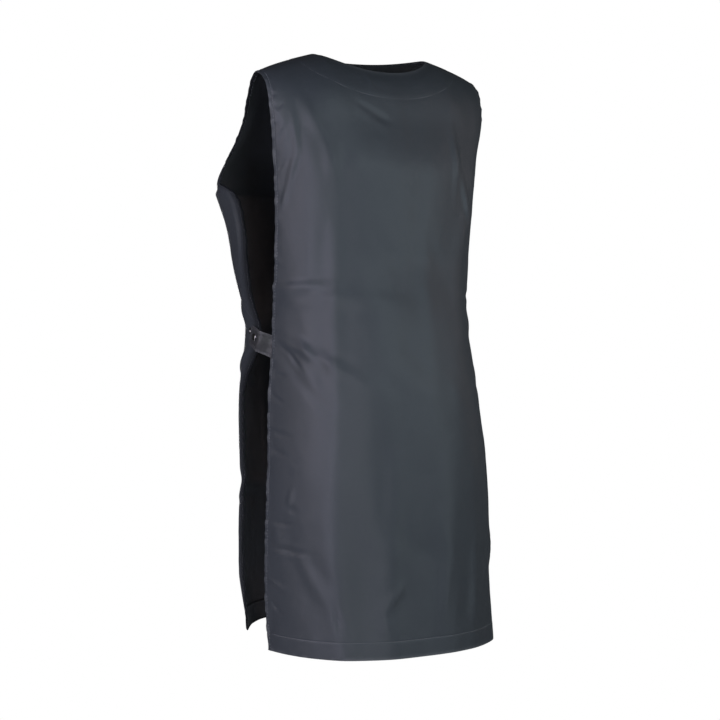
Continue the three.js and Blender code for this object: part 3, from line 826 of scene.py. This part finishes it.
def column_shares(half_arc):
    """Places across one half, from the middle to the side edge."""
    neck = NECK_HALF / SHOULDER_HALF
    facing = (NECK_HALF + FACING_DEPTH) / SHOULDER_HALF
    outer = 1 - SIDE_ZONE / half_arc
    return np.concatenate([
        np.linspace(0, neck, NECK_COLUMNS, endpoint=False),
        np.linspace(neck, facing, FACING_COLUMNS, endpoint=False),
        np.linspace(facing, outer[0], FIELD_COLUMNS, endpoint=False),
        outer,
    ])


# %% The back and front panels
HEM_FADE = 0.003
NECK_FADE = 0.0035


def panel_sheet(name, panel, finish):
    half = column_shares(half_arc_at(panel, 0.4)[0])
    start = np.concatenate([-half[:0:-1], half])
    depth = panel_rows(panel, start)
    edge_arcs = half_arc_at(panel, depth[:, -1])
    across = np.array([np.concatenate([-s[:0:-1], s]) for s in map(column_shares, edge_arcs)])
    depth = np.array([panel_rows(panel, row)[k] for k, row in enumerate(across)])
    mesh, row, column = flat_grid(name, *across.shape)
    a, d = across[row, column], depth[row, column]
    arc = half_arc_at(panel, d)
    points = cloth_points(panel, a, d, CLOTH_WALL / 2)
    from_edge = (1 - np.abs(a)) * arc
    from_hem = hem_depth(panel, a) - d
    # The edge mark is wear on the back, in beads along the puckers; on the front it is painted
    # shade, even along the side edges, the hem and the neckline.
    edges = np.exp(-(from_edge / panel.fade) ** 2) + np.exp(-(from_hem / HEM_FADE) ** 2)
    neckline = np.abs(a) < NECK_HALF / SHOULDER_HALF
    edges += 0.9 * neckline * np.exp(-((d - top_depth(panel, a)) / NECK_FADE) ** 2)
    beads = np.clip(0.15 + 1.2 * edge_hills(panel, a, d, from_edge), 0, 1)
    beads = np.where(neckline | (panel is FRONT), 0.9, beads)
    wear_and_shade = panel.wear_and_shade_strength * np.clip(edges, 0, 1) * beads
    shape_sheet(mesh, points, outward(panel, a, d), np.stack([a * arc, -d], axis=1), wear_and_shade)
    piece = make_piece(name, mesh, finish)
    hem = piece.vertex_groups.new(name="hem")
    turned = (from_edge < SIDE_HEM) | (from_hem < BOTTOM_HEM)
    hem.add([int(k) for k in np.flatnonzero(turned)], 1.0, "REPLACE")
    thicken(piece, HEM_WALL, CLOTH_WALL / HEM_WALL, 0.0005)
    print(name, across.shape, "rows and columns")
    return piece


back_cloth = panel_sheet("back_cloth", BACK, TWILL)
# The front panel's edges carry painted shade.
front_cloth = panel_sheet("front_cloth", FRONT, FRONT_TWILL_SHADED_EDGES)
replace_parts(back_cloth, "back_panel")
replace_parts(front_cloth, "front_panel")

# %% [markdown]
# ## Neck facings
# The neckline is finished with a facing: a band of the same twill, 43 mm deep all along the
# neckline, turned to the inside and stitched down. It shows through the neck opening and as a
# line of stitches on the outside. It is a sheet of its own on the inner face of its panel.


# %% Facings
def facing_sheet(name, panel):
    line_across, line_depth = facing_line(panel, FACING_DEPTH)
    edge, bend = line_across[-1], round(NECK_HALF / SHOULDER_HALF, 3)
    shares = spaced([0, 0.006, 0.024, 0.06, 0.13, 0.26, 0.90, 0.935, 0.97, 1], 0.075)
    across = spaced([-edge, -edge + 0.004, -bend, bend, edge - 0.004, edge], 0.022)
    mesh, row, column = flat_grid(name, len(shares), len(across))
    a = across[column]
    top = top_depth(panel, a)
    d = top + shares[row] * (np.interp(np.abs(a), line_across, line_depth) - top)
    face = -CLOTH_WALL / 2 - LAY_GAP
    points = cloth_points(panel, a, d, face)
    inset = facing_inset(panel, a, d)
    wear_and_shade = 0.5 * np.exp(-(inset / 0.002) ** 2)
    flat = np.stack([a * half_arc_at(panel, d), -d], axis=1)
    shape_sheet(mesh, points, outward(panel, a, d), flat, wear_and_shade)
    piece = make_piece(name, mesh, SHADED_LINING)
    thicken(piece, FACING_WALL, 1, 0.0003)
    print(name, len(shares), "x", len(across))
    return piece


back_facing = facing_sheet("back_facing_band", BACK)
front_facing = facing_sheet("front_facing_band", FRONT)
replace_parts(back_facing, "back_neck_facing")
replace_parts(front_facing, "front_neck_facing")

# %% [markdown]
# ## Side tabs
# Each tab is a doubled strip of twill, stitched all round. One end is sewn inside the back
# panel's edge, and the strip crosses the open side, climbs a little towards the front and
# lies over the front panel's edge. Its path is measured along the cloth itself, so it bends
# as the two edges bend.

# %% Sizes of the tab
TAB_WIDTH = 0.032
TAB_WALL = 0.0020
TAB_INSET = 0.015
TAB_OVERLAP = 0.025
TAB_SLOPE = math.radians(22)
TAB_CORNER = 0.006
TAB_GAP = 0.0005
STUD_INSET = 0.012
STUD_PITCH = 0.024
FLANGE_RADIUS = 0.0052
FLANGE_WALL = 0.0005
POST_RADIUS = 0.0018
POST_HEIGHT = 0.0012
SHANK_RADIUS = 0.0015
SOCKET_WALL = 0.0016
CAP_RADIUS = 0.0058
CAP_HEIGHT = 0.0015
TAB_UNDER = -(HEM_WALL - CLOTH_WALL / 2 + TAB_GAP + TAB_WALL / 2)
FLANGE_BASE = CLOTH_WALL / 2 + SNAP_GAP
FLANGE_TOP = FLANGE_BASE + FLANGE_WALL
SOCKET_BASE = FLANGE_TOP + LAY_GAP
TAB_OVER = SOCKET_BASE + SOCKET_WALL + SNAP_GAP + TAB_WALL / 2


# %% The way round one side
def on_back(side, at, depth):
    """A point inside the back panel, at metres forwards of its side edge."""
    return cloth_points(BACK, side * (1 + at / half_arc_at(BACK, depth)), depth, TAB_UNDER)


def on_front(side, at, depth):
    """A point over the front panel, at metres inwards from its side edge."""
    return cloth_points(FRONT, side * (1 - at / half_arc_at(FRONT, depth)), depth, TAB_OVER)


def girth_points(side, run, depth):
    """run is metres forwards from the back panel's edge, across the open side to the front."""
    zero = np.zeros_like(depth)
    start, end = on_back(side, zero, depth), on_front(side, zero, depth)
    gap = np.linalg.norm(end - start, axis=1)
    step = 0.001
    leave = (start - on_back(side, zero - step, depth)) * (gap / step)[:, None]
    arrive = (on_front(side, zero + step, depth) - end) * (gap / step)[:, None]
    t = np.clip(run / gap, 0, 1)[:, None]
    bridge = (start * (1 - smooth(t)) + end * smooth(t)
              + leave * t * (1 - t) ** 2 - arrive * t * t * (1 - t))
    behind = on_back(side, np.minimum(run, 0), depth)
    ahead = on_front(side, np.maximum(run - gap, 0), depth)
    sewn, over = (run <= 0)[:, None], (run >= gap)[:, None]
    return np.where(sewn, behind, np.where(over, ahead, bridge))


def gap_at(side, depth):
    depth = np.atleast_1d(np.asarray(depth, float))
    zero = np.zeros_like(depth)
    return np.linalg.norm(on_front(side, zero, depth) - on_back(side, zero, depth), axis=1)


# %% Places on a tab
def tab_centre(side, along, beside):
    """along runs forwards from the tab's snap, and beside runs down its width."""
    run = (gap_at(side, TAB_LEVEL)[0] + STUD_INSET
           + along * math.cos(TAB_SLOPE) + beside * math.sin(TAB_SLOPE))
    depth = TAB_LEVEL - along * math.sin(TAB_SLOPE) + beside * math.cos(TAB_SLOPE)
    return girth_points(side, run, depth)


def tab_normals(side, along, beside):
    reach = 0.0008
    forward = tab_centre(side, along + reach, beside) - tab_centre(side, along - reach, beside)
    down = tab_centre(side, along, beside + reach) - tab_centre(side, along, beside - reach)
    normal = np.cross(down, forward) * -side
    return normal / np.linalg.norm(normal, axis=1, keepdims=True)


def tab_start(side):
    return -(gap_at(side, TAB_LEVEL)[0] + STUD_INSET + TAB_INSET) / math.cos(TAB_SLOPE)


def tab_end(beside):
    past = np.maximum(0, (np.abs(beside) - TAB_WIDTH / 2 + TAB_CORNER) / TAB_CORNER)
    return TAB_OVERLAP - STUD_INSET - TAB_CORNER * (1 - np.sqrt(np.maximum(0, 1 - past ** 2)))


TAB_STITCH = 0.0034
TAB_GROOVE_DEEP, TAB_GROOVE_HALF = 0.00030, 0.0009
TAB_PUCKER_RISE = 0.00018
SNAP_FLAT = 0.008


def tab_relief(side, along, beside):
    """Grooves along the stitching and a slight pillow between, on either face."""
    from_side = TAB_WIDTH / 2 - np.abs(beside)
    from_end = tab_end(beside) - along
    nearest = np.minimum(from_side, from_end)
    groove = -TAB_GROOVE_DEEP * np.exp(-((nearest - TAB_STITCH) / TAB_GROOVE_HALF) ** 2)
    pucker = TAB_PUCKER_RISE * soft_noise(along / 0.006 + 30, beside / 0.009 + side * 5 + 9, 31)
    flat = np.exp(-(np.hypot(along, beside) / SNAP_FLAT) ** 2)
    return (groove + pucker * np.exp(-((nearest - TAB_STITCH) / 0.004) ** 2)) * (1 - flat)


# %% Tabs
def tab_sheet(name, side):
    shares = spaced([-1, -0.96, -0.88, -0.84, -0.79, -0.75, -0.70, 0.70, 0.75, 0.79, 0.84,
                     0.88, 0.96, 1], 0.12)
    beside_lines = shares * TAB_WIDTH / 2
    start = tab_start(side)
    along_lines = 1 - spaced([0, 0.006, 0.014, 0.030, 0.037, 0.044, 0.052, 0.07, 1], 0.028)[::-1]
    mesh, row, column = flat_grid(name, len(beside_lines), len(along_lines))
    beside = beside_lines[row]
    along = start + (tab_end(beside) - start) * along_lines[column]
    normals = tab_normals(side, along, beside)
    lift = TAB_WALL / 2 + tab_relief(side, along, beside)
    points = tab_centre(side, along, beside) + normals * lift[:, None]
    nearest = np.minimum(TAB_WIDTH / 2 - np.abs(beside), tab_end(beside) - along)
    wear_and_shade = 0.7 * np.exp(-(np.maximum(nearest, 0) / 0.0016) ** 2)
    shape_sheet(mesh, points, normals, np.stack([along, beside], axis=1), wear_and_shade)
    piece = make_piece(name, mesh, SHADED_TAB_TWILL)
    thicken(piece, TAB_WALL, 1, 0.0006)
    print(name, "starts", round(start, 4))
    return piece


tabs = {}
for label, side in (("left", 1), ("right", -1)):
    tabs[label] = tab_sheet(f"tab_strip_{label}", side)
    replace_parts(tabs[label], f"side_tab_{label}")

# %% [markdown]
# ## Press snaps
# A press snap is turned metal: a domed cap with a springy socket under it on the tab, and a
# stud with a small round post on the front panel. Each side has two studs, so the waist can
# be closed tighter; the spare one is bare. A profile spun round an axis makes each of them.


# %% Seats on the front panel
def snap_seat(side, place):
    """Middle of the cloth and outward normal under a stud: place is 0 closed, 1 spare."""
    along = place * STUD_PITCH
    depth = TAB_LEVEL - along * math.sin(TAB_SLOPE)
    inward = (STUD_INSET + along * math.cos(TAB_SLOPE)
              + gap_at(side, TAB_LEVEL)[0] - gap_at(side, depth)[0])
    across = side * (1 - inward / half_arc_at(FRONT, depth))
    point = cloth_points(FRONT, across, depth, 0.0)[0]
    normal = outward(FRONT, across, np.array([depth]))[0]
    return Vector(point), Vector(normal)


# %% Turned pieces
SPIN_STEPS = 36
SHARP_ANGLE = math.radians(50)


def turned_piece(name, profile, place, finish):
    """Spins a profile of (radius, height) pairs round the seat's normal."""
    point, normal = place
    bm = bmesh.new()
    line = [bm.verts.new((radius, 0, height)) for radius, height in profile]
    edges = [bm.edges.new(pair) for pair in zip(line, line[1:])]
    bmesh.ops.spin(bm, geom=line + edges, cent=(0, 0, 0), axis=(0, 0, 1), angle=2 * math.pi,
                   steps=SPIN_STEPS, use_merge=True)
    bmesh.ops.remove_doubles(bm, verts=bm.verts, dist=1e-6)
    bmesh.ops.recalc_face_normals(bm, faces=bm.faces)
    turn = Vector((0, 0, 1)).rotation_difference(normal).to_matrix()
    bmesh.ops.rotate(bm, verts=bm.verts, cent=(0, 0, 0), matrix=turn)
    bmesh.ops.translate(bm, verts=bm.verts, vec=point)
    mesh = bpy.data.meshes.new(name)
    bm.to_mesh(mesh)
    bm.free()
    mesh.shade_smooth()
    mesh.set_sharp_from_angle(angle=SHARP_ANGLE)
    return make_piece(name, mesh, finish)


RING_TOP = -(HEM_WALL - CLOTH_WALL / 2) - SNAP_GAP
STUD_PROFILE = [
    (0, RING_TOP - FLANGE_WALL),
    (FLANGE_RADIUS * 0.92, RING_TOP - FLANGE_WALL),
    (FLANGE_RADIUS, RING_TOP - FLANGE_WALL * 0.6),
    (FLANGE_RADIUS * 0.96, RING_TOP),
    (SHANK_RADIUS, RING_TOP),
    (SHANK_RADIUS, FLANGE_BASE),
    (FLANGE_RADIUS * 0.94, FLANGE_BASE),
    (FLANGE_RADIUS, FLANGE_BASE + FLANGE_WALL * 0.5),
    (FLANGE_RADIUS * 0.92, FLANGE_TOP),
    (FLANGE_RADIUS * 0.72, FLANGE_TOP - 0.00005),
    (FLANGE_RADIUS * 0.60, FLANGE_TOP - 0.00030),
    (POST_RADIUS * 1.15, FLANGE_TOP - 0.00030),
    (POST_RADIUS * 0.90, FLANGE_TOP + POST_HEIGHT * 0.30),
    (POST_RADIUS, FLANGE_TOP + POST_HEIGHT * 0.62),
    (POST_RADIUS * 0.82, FLANGE_TOP + POST_HEIGHT * 0.92),
    (POST_RADIUS * 0.45, FLANGE_TOP + POST_HEIGHT),
    (0, FLANGE_TOP + POST_HEIGHT),
]
ROOF = FLANGE_TOP + POST_HEIGHT + LAY_GAP
SOCKET_TOP = SOCKET_BASE + SOCKET_WALL
CAP_BASE = TAB_OVER + TAB_WALL / 2 + SNAP_GAP
CAP_PROFILE = [
    (0, ROOF),
    (POST_RADIUS + LAY_GAP, ROOF),
    (POST_RADIUS + LAY_GAP, SOCKET_BASE),
    (FLANGE_RADIUS * 0.90, SOCKET_BASE),
    (FLANGE_RADIUS, SOCKET_BASE + SOCKET_WALL * 0.3),
    (FLANGE_RADIUS, SOCKET_TOP),
    (SHANK_RADIUS, SOCKET_TOP),
    (SHANK_RADIUS, CAP_BASE),
    (CAP_RADIUS * 0.95, CAP_BASE),
    (CAP_RADIUS, CAP_BASE + CAP_HEIGHT * 0.22),
    (CAP_RADIUS * 0.97, CAP_BASE + CAP_HEIGHT * 0.45),
    (CAP_RADIUS * 0.88, CAP_BASE + CAP_HEIGHT * 0.64),
    (CAP_RADIUS * 0.70, CAP_BASE + CAP_HEIGHT * 0.82),
    (CAP_RADIUS * 0.42, CAP_BASE + CAP_HEIGHT * 0.95),
    (0, CAP_BASE + CAP_HEIGHT),
]

# %% Snaps of both sides
for label, side in (("left", 1), ("right", -1)):
    closed, spare = snap_seat(side, 0), snap_seat(side, 1)
    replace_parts(turned_piece(f"cap_dome_{label}", CAP_PROFILE, closed, NICKEL),
                f"snap_cap_{label}")
    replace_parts(turned_piece(f"closed_post_{label}", STUD_PROFILE, closed, NICKEL),
                f"snap_stud_{label}")
    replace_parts(turned_piece(f"spare_post_{label}", STUD_PROFILE, spare, NICKEL),
                f"spare_stud_{label}")
    print(label, "snap at", [round(c, 4) for c in closed[0]])

# %% [markdown]
# ## Stitching
# A lockstitch shows as a row of short threads, each dipping into the cloth at both ends. One
# small sphere with few faces, stretched along the seam, is enough for each thread, because
# there are thousands. Both faces of the cloth get their own row, as on the real seam. The
# thread is pale on the back panel. On the front panel and the tabs it is a darker copy of the
# same thread: painted shade. Along the side edges the stitches are longer, thicker and
# further apart.

# %% One row of stitches
STITCH_PITCH = 0.0032
STITCH_SHARE = 0.76
THREAD_RADIUS = 0.00034
BALL_FULLNESS = 0.4


def unit_ball():
    bm = bmesh.new()
    bmesh.ops.create_uvsphere(bm, u_segments=6, v_segments=4, radius=1.0)
    ball = np.array([vertex.co[:] for vertex in bm.verts])
    faces = [[vertex.index for vertex in face.verts] for face in bm.faces]
    bm.free()
    girth = np.hypot(ball[:, 0], ball[:, 1])
    fuller = np.where(girth > 1e-6, girth ** -BALL_FULLNESS, 1)
    ball[:, :2] *= fuller[:, None]
    return ball, faces


BALL, BALL_FACES = unit_ball()


def stitch_threads(starts, ends, normals, radius=THREAD_RADIUS):
    """Vertices of one thread from each start to each end, standing on the cloth."""
    middle, reach = (starts + ends) / 2, (ends - starts) / 2
    aside = np.cross(normals, reach)
    aside /= np.linalg.norm(aside, axis=1, keepdims=True)
    lift = radius * (BALL[:, 1] + 0.35 - 0.75 * BALL[:, 2] ** 2)
    return (middle[:, None] + reach[:, None] * BALL[None, :, 2:3]
            + aside[:, None] * (BALL[None, :, 0:1] * radius)
            + normals[:, None] * lift[None, :, None])


def stitch_piece(name, finish, threads):
    """One mesh of all the threads; threads is a list of arrays from stitch_threads."""
    threads = np.concatenate(threads)
    mesh = bpy.data.meshes.new(name)
    count = threads.shape[1]
    faces = [[k * count + v for v in face] for k in range(len(threads)) for face in BALL_FACES]
    mesh.from_pydata(threads.reshape(-1, 3), [], faces)
    mesh.shade_smooth()
    mesh.update()
    piece = make_piece(name, mesh, finish)
    print(name, len(threads), "stitches")
    return piece


# %% Stitches along a line on a panel
def seam_threads(panel, across, depth, outer, inner, pitch=STITCH_PITCH,
                 radius=THREAD_RADIUS, share=STITCH_SHARE):
    """Threads along a line of places; outer and inner are offsets of the two faces."""
    middle = smooth_points(panel, across, depth)
    run = np.concatenate([[0], np.cumsum(np.linalg.norm(np.diff(middle, axis=0), axis=1))])
    count = int(run[-1] / pitch)
    threads = []
    for face, shift in ((outer, 0.0), (inner, 0.5)):
        begin = (np.arange(count) + 0.12 + shift) * pitch
        ends = []
        for at in (begin, begin + share * pitch):
            ends.append((np.interp(at, run, across), np.interp(at, run, depth)))
        first = cloth_points(panel, *ends[0], face)
        last = cloth_points(panel, *ends[1], face)
        way = outward(panel, *ends[0]) * (1 if face > 0 else -1)
        threads.append(stitch_threads(first, last, way, radius))
    return threads


EDGE_PITCH = 0.0048
EDGE_SHARE = 0.50
EDGE_THREAD = 0.00050


def side_seams(panel, side):
    depth = np.linspace(top_depth(panel, 1.0) + 0.002, hem_depth(panel, 1.0) - 0.001, 500)
    across = side * (1 - STITCH_FROM_EDGE / half_arc_at(panel, depth))
    return seam_threads(panel, across, depth, CLOTH_WALL / 2, CLOTH_WALL / 2 - HEM_WALL,
                        EDGE_PITCH, EDGE_THREAD, EDGE_SHARE)


def hem_seam(panel):
    reach = 1 - 0.010 / half_arc_at(panel, panel.length)[0]
    across = np.linspace(-reach, reach, 400)
    depth = hem_depth(panel, across) - STITCH_FROM_HEM
    return seam_threads(panel, across, depth, CLOTH_WALL / 2, CLOTH_WALL / 2 - HEM_WALL)


# %% Stitching of the facing
def facing_seam(panel):
    """The line just inside the facing's edge, from shoulder to shoulder."""
    half, drop = facing_line(panel, FACING_DEPTH - STITCH_IN_FACING)
    across = np.concatenate([half[::-1], -half[1:]])
    depth = np.concatenate([drop[::-1], drop[1:]])
    inner = -CLOTH_WALL / 2 - LAY_GAP - FACING_WALL
    return seam_threads(panel, across, depth, CLOTH_WALL / 2, inner)


# %% Stitching of a tab
TAB_PITCH = 0.0027


def tab_seam(side):
    """Threads all round a tab, on both of its faces."""
    width = TAB_WIDTH / 2 - TAB_STITCH
    round_in = TAB_CORNER - TAB_STITCH
    end = TAB_OVERLAP - STUD_INSET - TAB_STITCH
    begin = tab_start(side) + TAB_INSET
    turn = np.linspace(0, math.pi / 2, 8)
    corner_along = end - round_in * (1 - np.sin(turn))
    corner_beside = width - round_in * (1 - np.cos(turn))
    along = np.concatenate([np.linspace(begin, corner_along[0], 50)[:-1], corner_along])
    beside = np.concatenate([np.full(49, width), corner_beside])
    along = np.concatenate([along, along[::-1]])
    beside = np.concatenate([beside, -beside[::-1]])
    run = np.concatenate([[0], np.cumsum(np.hypot(np.diff(along), np.diff(beside)))])
    at = (np.arange(int(run[-1] / TAB_PITCH)) + 0.1) * TAB_PITCH
    threads = []
    for face in (1, -1):
        ends = []
        for place in (at, at + STITCH_SHARE * TAB_PITCH):
            a, b = np.interp(place, run, along), np.interp(place, run, beside)
            way = tab_normals(side, a, b)
            sink = tab_relief(side, a, b) if face > 0 else -tab_relief(side, a, b)
            lift = face * (TAB_WALL / 2 + sink)
            ends.append(tab_centre(side, a, b) + way * lift[:, None])
        threads.append(stitch_threads(ends[0], ends[1], way * face))
    return threads


# %% All the stitching
back_stitches = stitch_piece("back_stitches", PALE_THREAD, [
    *hem_seam(BACK), *facing_seam(BACK)])
back_edge_stitches = stitch_piece("back_edge_stitches", PALE_THREAD, [
    *side_seams(BACK, 1), *side_seams(BACK, -1)])
# The front and the tabs get the darker thread: painted shade.
front_stitches = stitch_piece("front_stitches", SHADED_THREAD, [
    *side_seams(FRONT, 1), *side_seams(FRONT, -1), *hem_seam(FRONT), *facing_seam(FRONT)])
tab_stitches = {label: stitch_piece(f"tab_stitches_{label}", SHADED_THREAD, tab_seam(side))
                for label, side in (("left", 1), ("right", -1))}

# %% [markdown]
# ## Sheets of cloth
# The panels hang from the shoulders, so nothing in the scene carries them; the facings and
# tabs are sewn to a panel.

# %% Sheets of cloth
print(4 + len(tabs), "sheets of cloth")

# %% [markdown]
# ## Floor and light
# The apron hangs in a plain white studio. The floor is a pale disc well below it, a little
# brighter to the camera than its light makes it, so that it doesn't look grey. Soft tall lamps
# stand all round at about chest height. A lilac one at the wearer's left gives the side of the
# back its sheen, with a weak warm one further round. Greenish and bluish ones behind light the
# middle, a weak pink one the far side, and a strong one the front. None is above, so the
# inside stays dark.

# %% Floor
FLOOR_DROP = 1.40
FLOOR_RADIUS = 1.5
FLOOR_LIFT = 0.50


def pale_floor():
    bm = bmesh.new()
    bmesh.ops.create_circle(bm, cap_ends=True, segments=96, radius=FLOOR_RADIUS)
    bmesh.ops.translate(bm, verts=bm.verts, vec=(0, 0, -FLOOR_DROP))
    mesh = bpy.data.meshes.new("floor")
    bm.to_mesh(mesh)
    bm.free()
    floor = bpy.data.objects.new("floor", mesh)
    bpy.context.scene.collection.objects.link(floor)
    finish, tree, shader = new_finish("pale_paint", 0.9)
    place = add_node(tree, "TexCoord").outputs["Object"]
    patches = add_node(tree, "TexNoise", Vector=place, Scale=3.0, Detail=2.0).outputs["Fac"]
    seen = add_node(tree, "LightPath").outputs["Is Camera Ray"]
    feed(tree, shader, Emission_Color=(1, 1, 1, 1),
         Emission_Strength=multiplied(tree, seen, FLOOR_LIFT),
         Base_Color=mix_colours(tree, patches, (0.80, 0.80, 0.80), (0.84, 0.84, 0.84)))
    mesh.materials.append(finish)


pale_floor()
print("floor", FLOOR_DROP, "m below the shoulders")


# %% Lamps
LAMP_WIDE, LAMP_TALL = 0.40, 0.95
AIM = Vector((0, 0, -0.40))
# Columns: name, azimuth in degrees, reach, height, power in watts, colour. The azimuth runs
# from the wearer's back towards their left.
LAMPS = [
    ("side_lamp", 66, 1.5, -0.28, 9.6, (0.85, 0.81, 1.00)),
    ("edge_lamp", 98, 1.5, -0.28, 2.4, (1.00, 0.89, 0.78)),
    ("camera_lamp", 24, 1.5, -0.28, 4.6, (0.94, 1.00, 0.97)),
    ("back_lamp", -27, 1.5, -0.10, 5.4, (0.82, 0.96, 1.00)),
    ("far_lamp", -70, 1.5, -0.05, 1.4, (1.00, 0.80, 0.78)),
    ("front_lamp", 205, 1.8, -0.30, 14.0, (1.00, 0.98, 0.97)),
]


def soft_lamp(name, azimuth, reach, height, power, colour):
    lamp = bpy.data.objects.new(name, bpy.data.lights.new(name, "AREA"))
    lamp.data.shape = "RECTANGLE"
    lamp.data.size, lamp.data.size_y = LAMP_WIDE, LAMP_TALL
    lamp.data.energy = power
    lamp.data.color = colour
    turn = math.radians(azimuth)
    place = Vector((reach * math.sin(turn), reach * math.cos(turn), height))
    lamp.location = place
    lamp.rotation_euler = (AIM - place).to_track_quat("-Z", "Y").to_euler()
    lamp.visible_camera = False
    bpy.context.scene.collection.objects.link(lamp)


for row in LAMPS:
    soft_lamp(*row)

# %% White surroundings
SURROUND_LIGHT = 0.015


def white_studio():
    world = bpy.data.worlds.new("studio")
    world.use_nodes = True
    tree = world.node_tree
    tree.nodes.clear()
    seen = add_node(tree, "Background", Color=(1, 1, 1, 1), Strength=1.0)
    lit = add_node(tree, "Background", Color=(1, 1, 1, 1), Strength=SURROUND_LIGHT)
    path = add_node(tree, "LightPath")
    either = add_node(tree, "MixShader")
    output = add_node(tree, "OutputWorld")
    tree.links.new(path.outputs["Is Camera Ray"], either.inputs[0])
    tree.links.new(lit.outputs[0], either.inputs[1])
    tree.links.new(seen.outputs[0], either.inputs[2])
    tree.links.new(either.outputs[0], output.inputs["Surface"])
    bpy.context.scene.world = world


white_studio()
bpy.context.scene.view_settings.view_transform = "Standard"
print("lamps and surroundings are set")
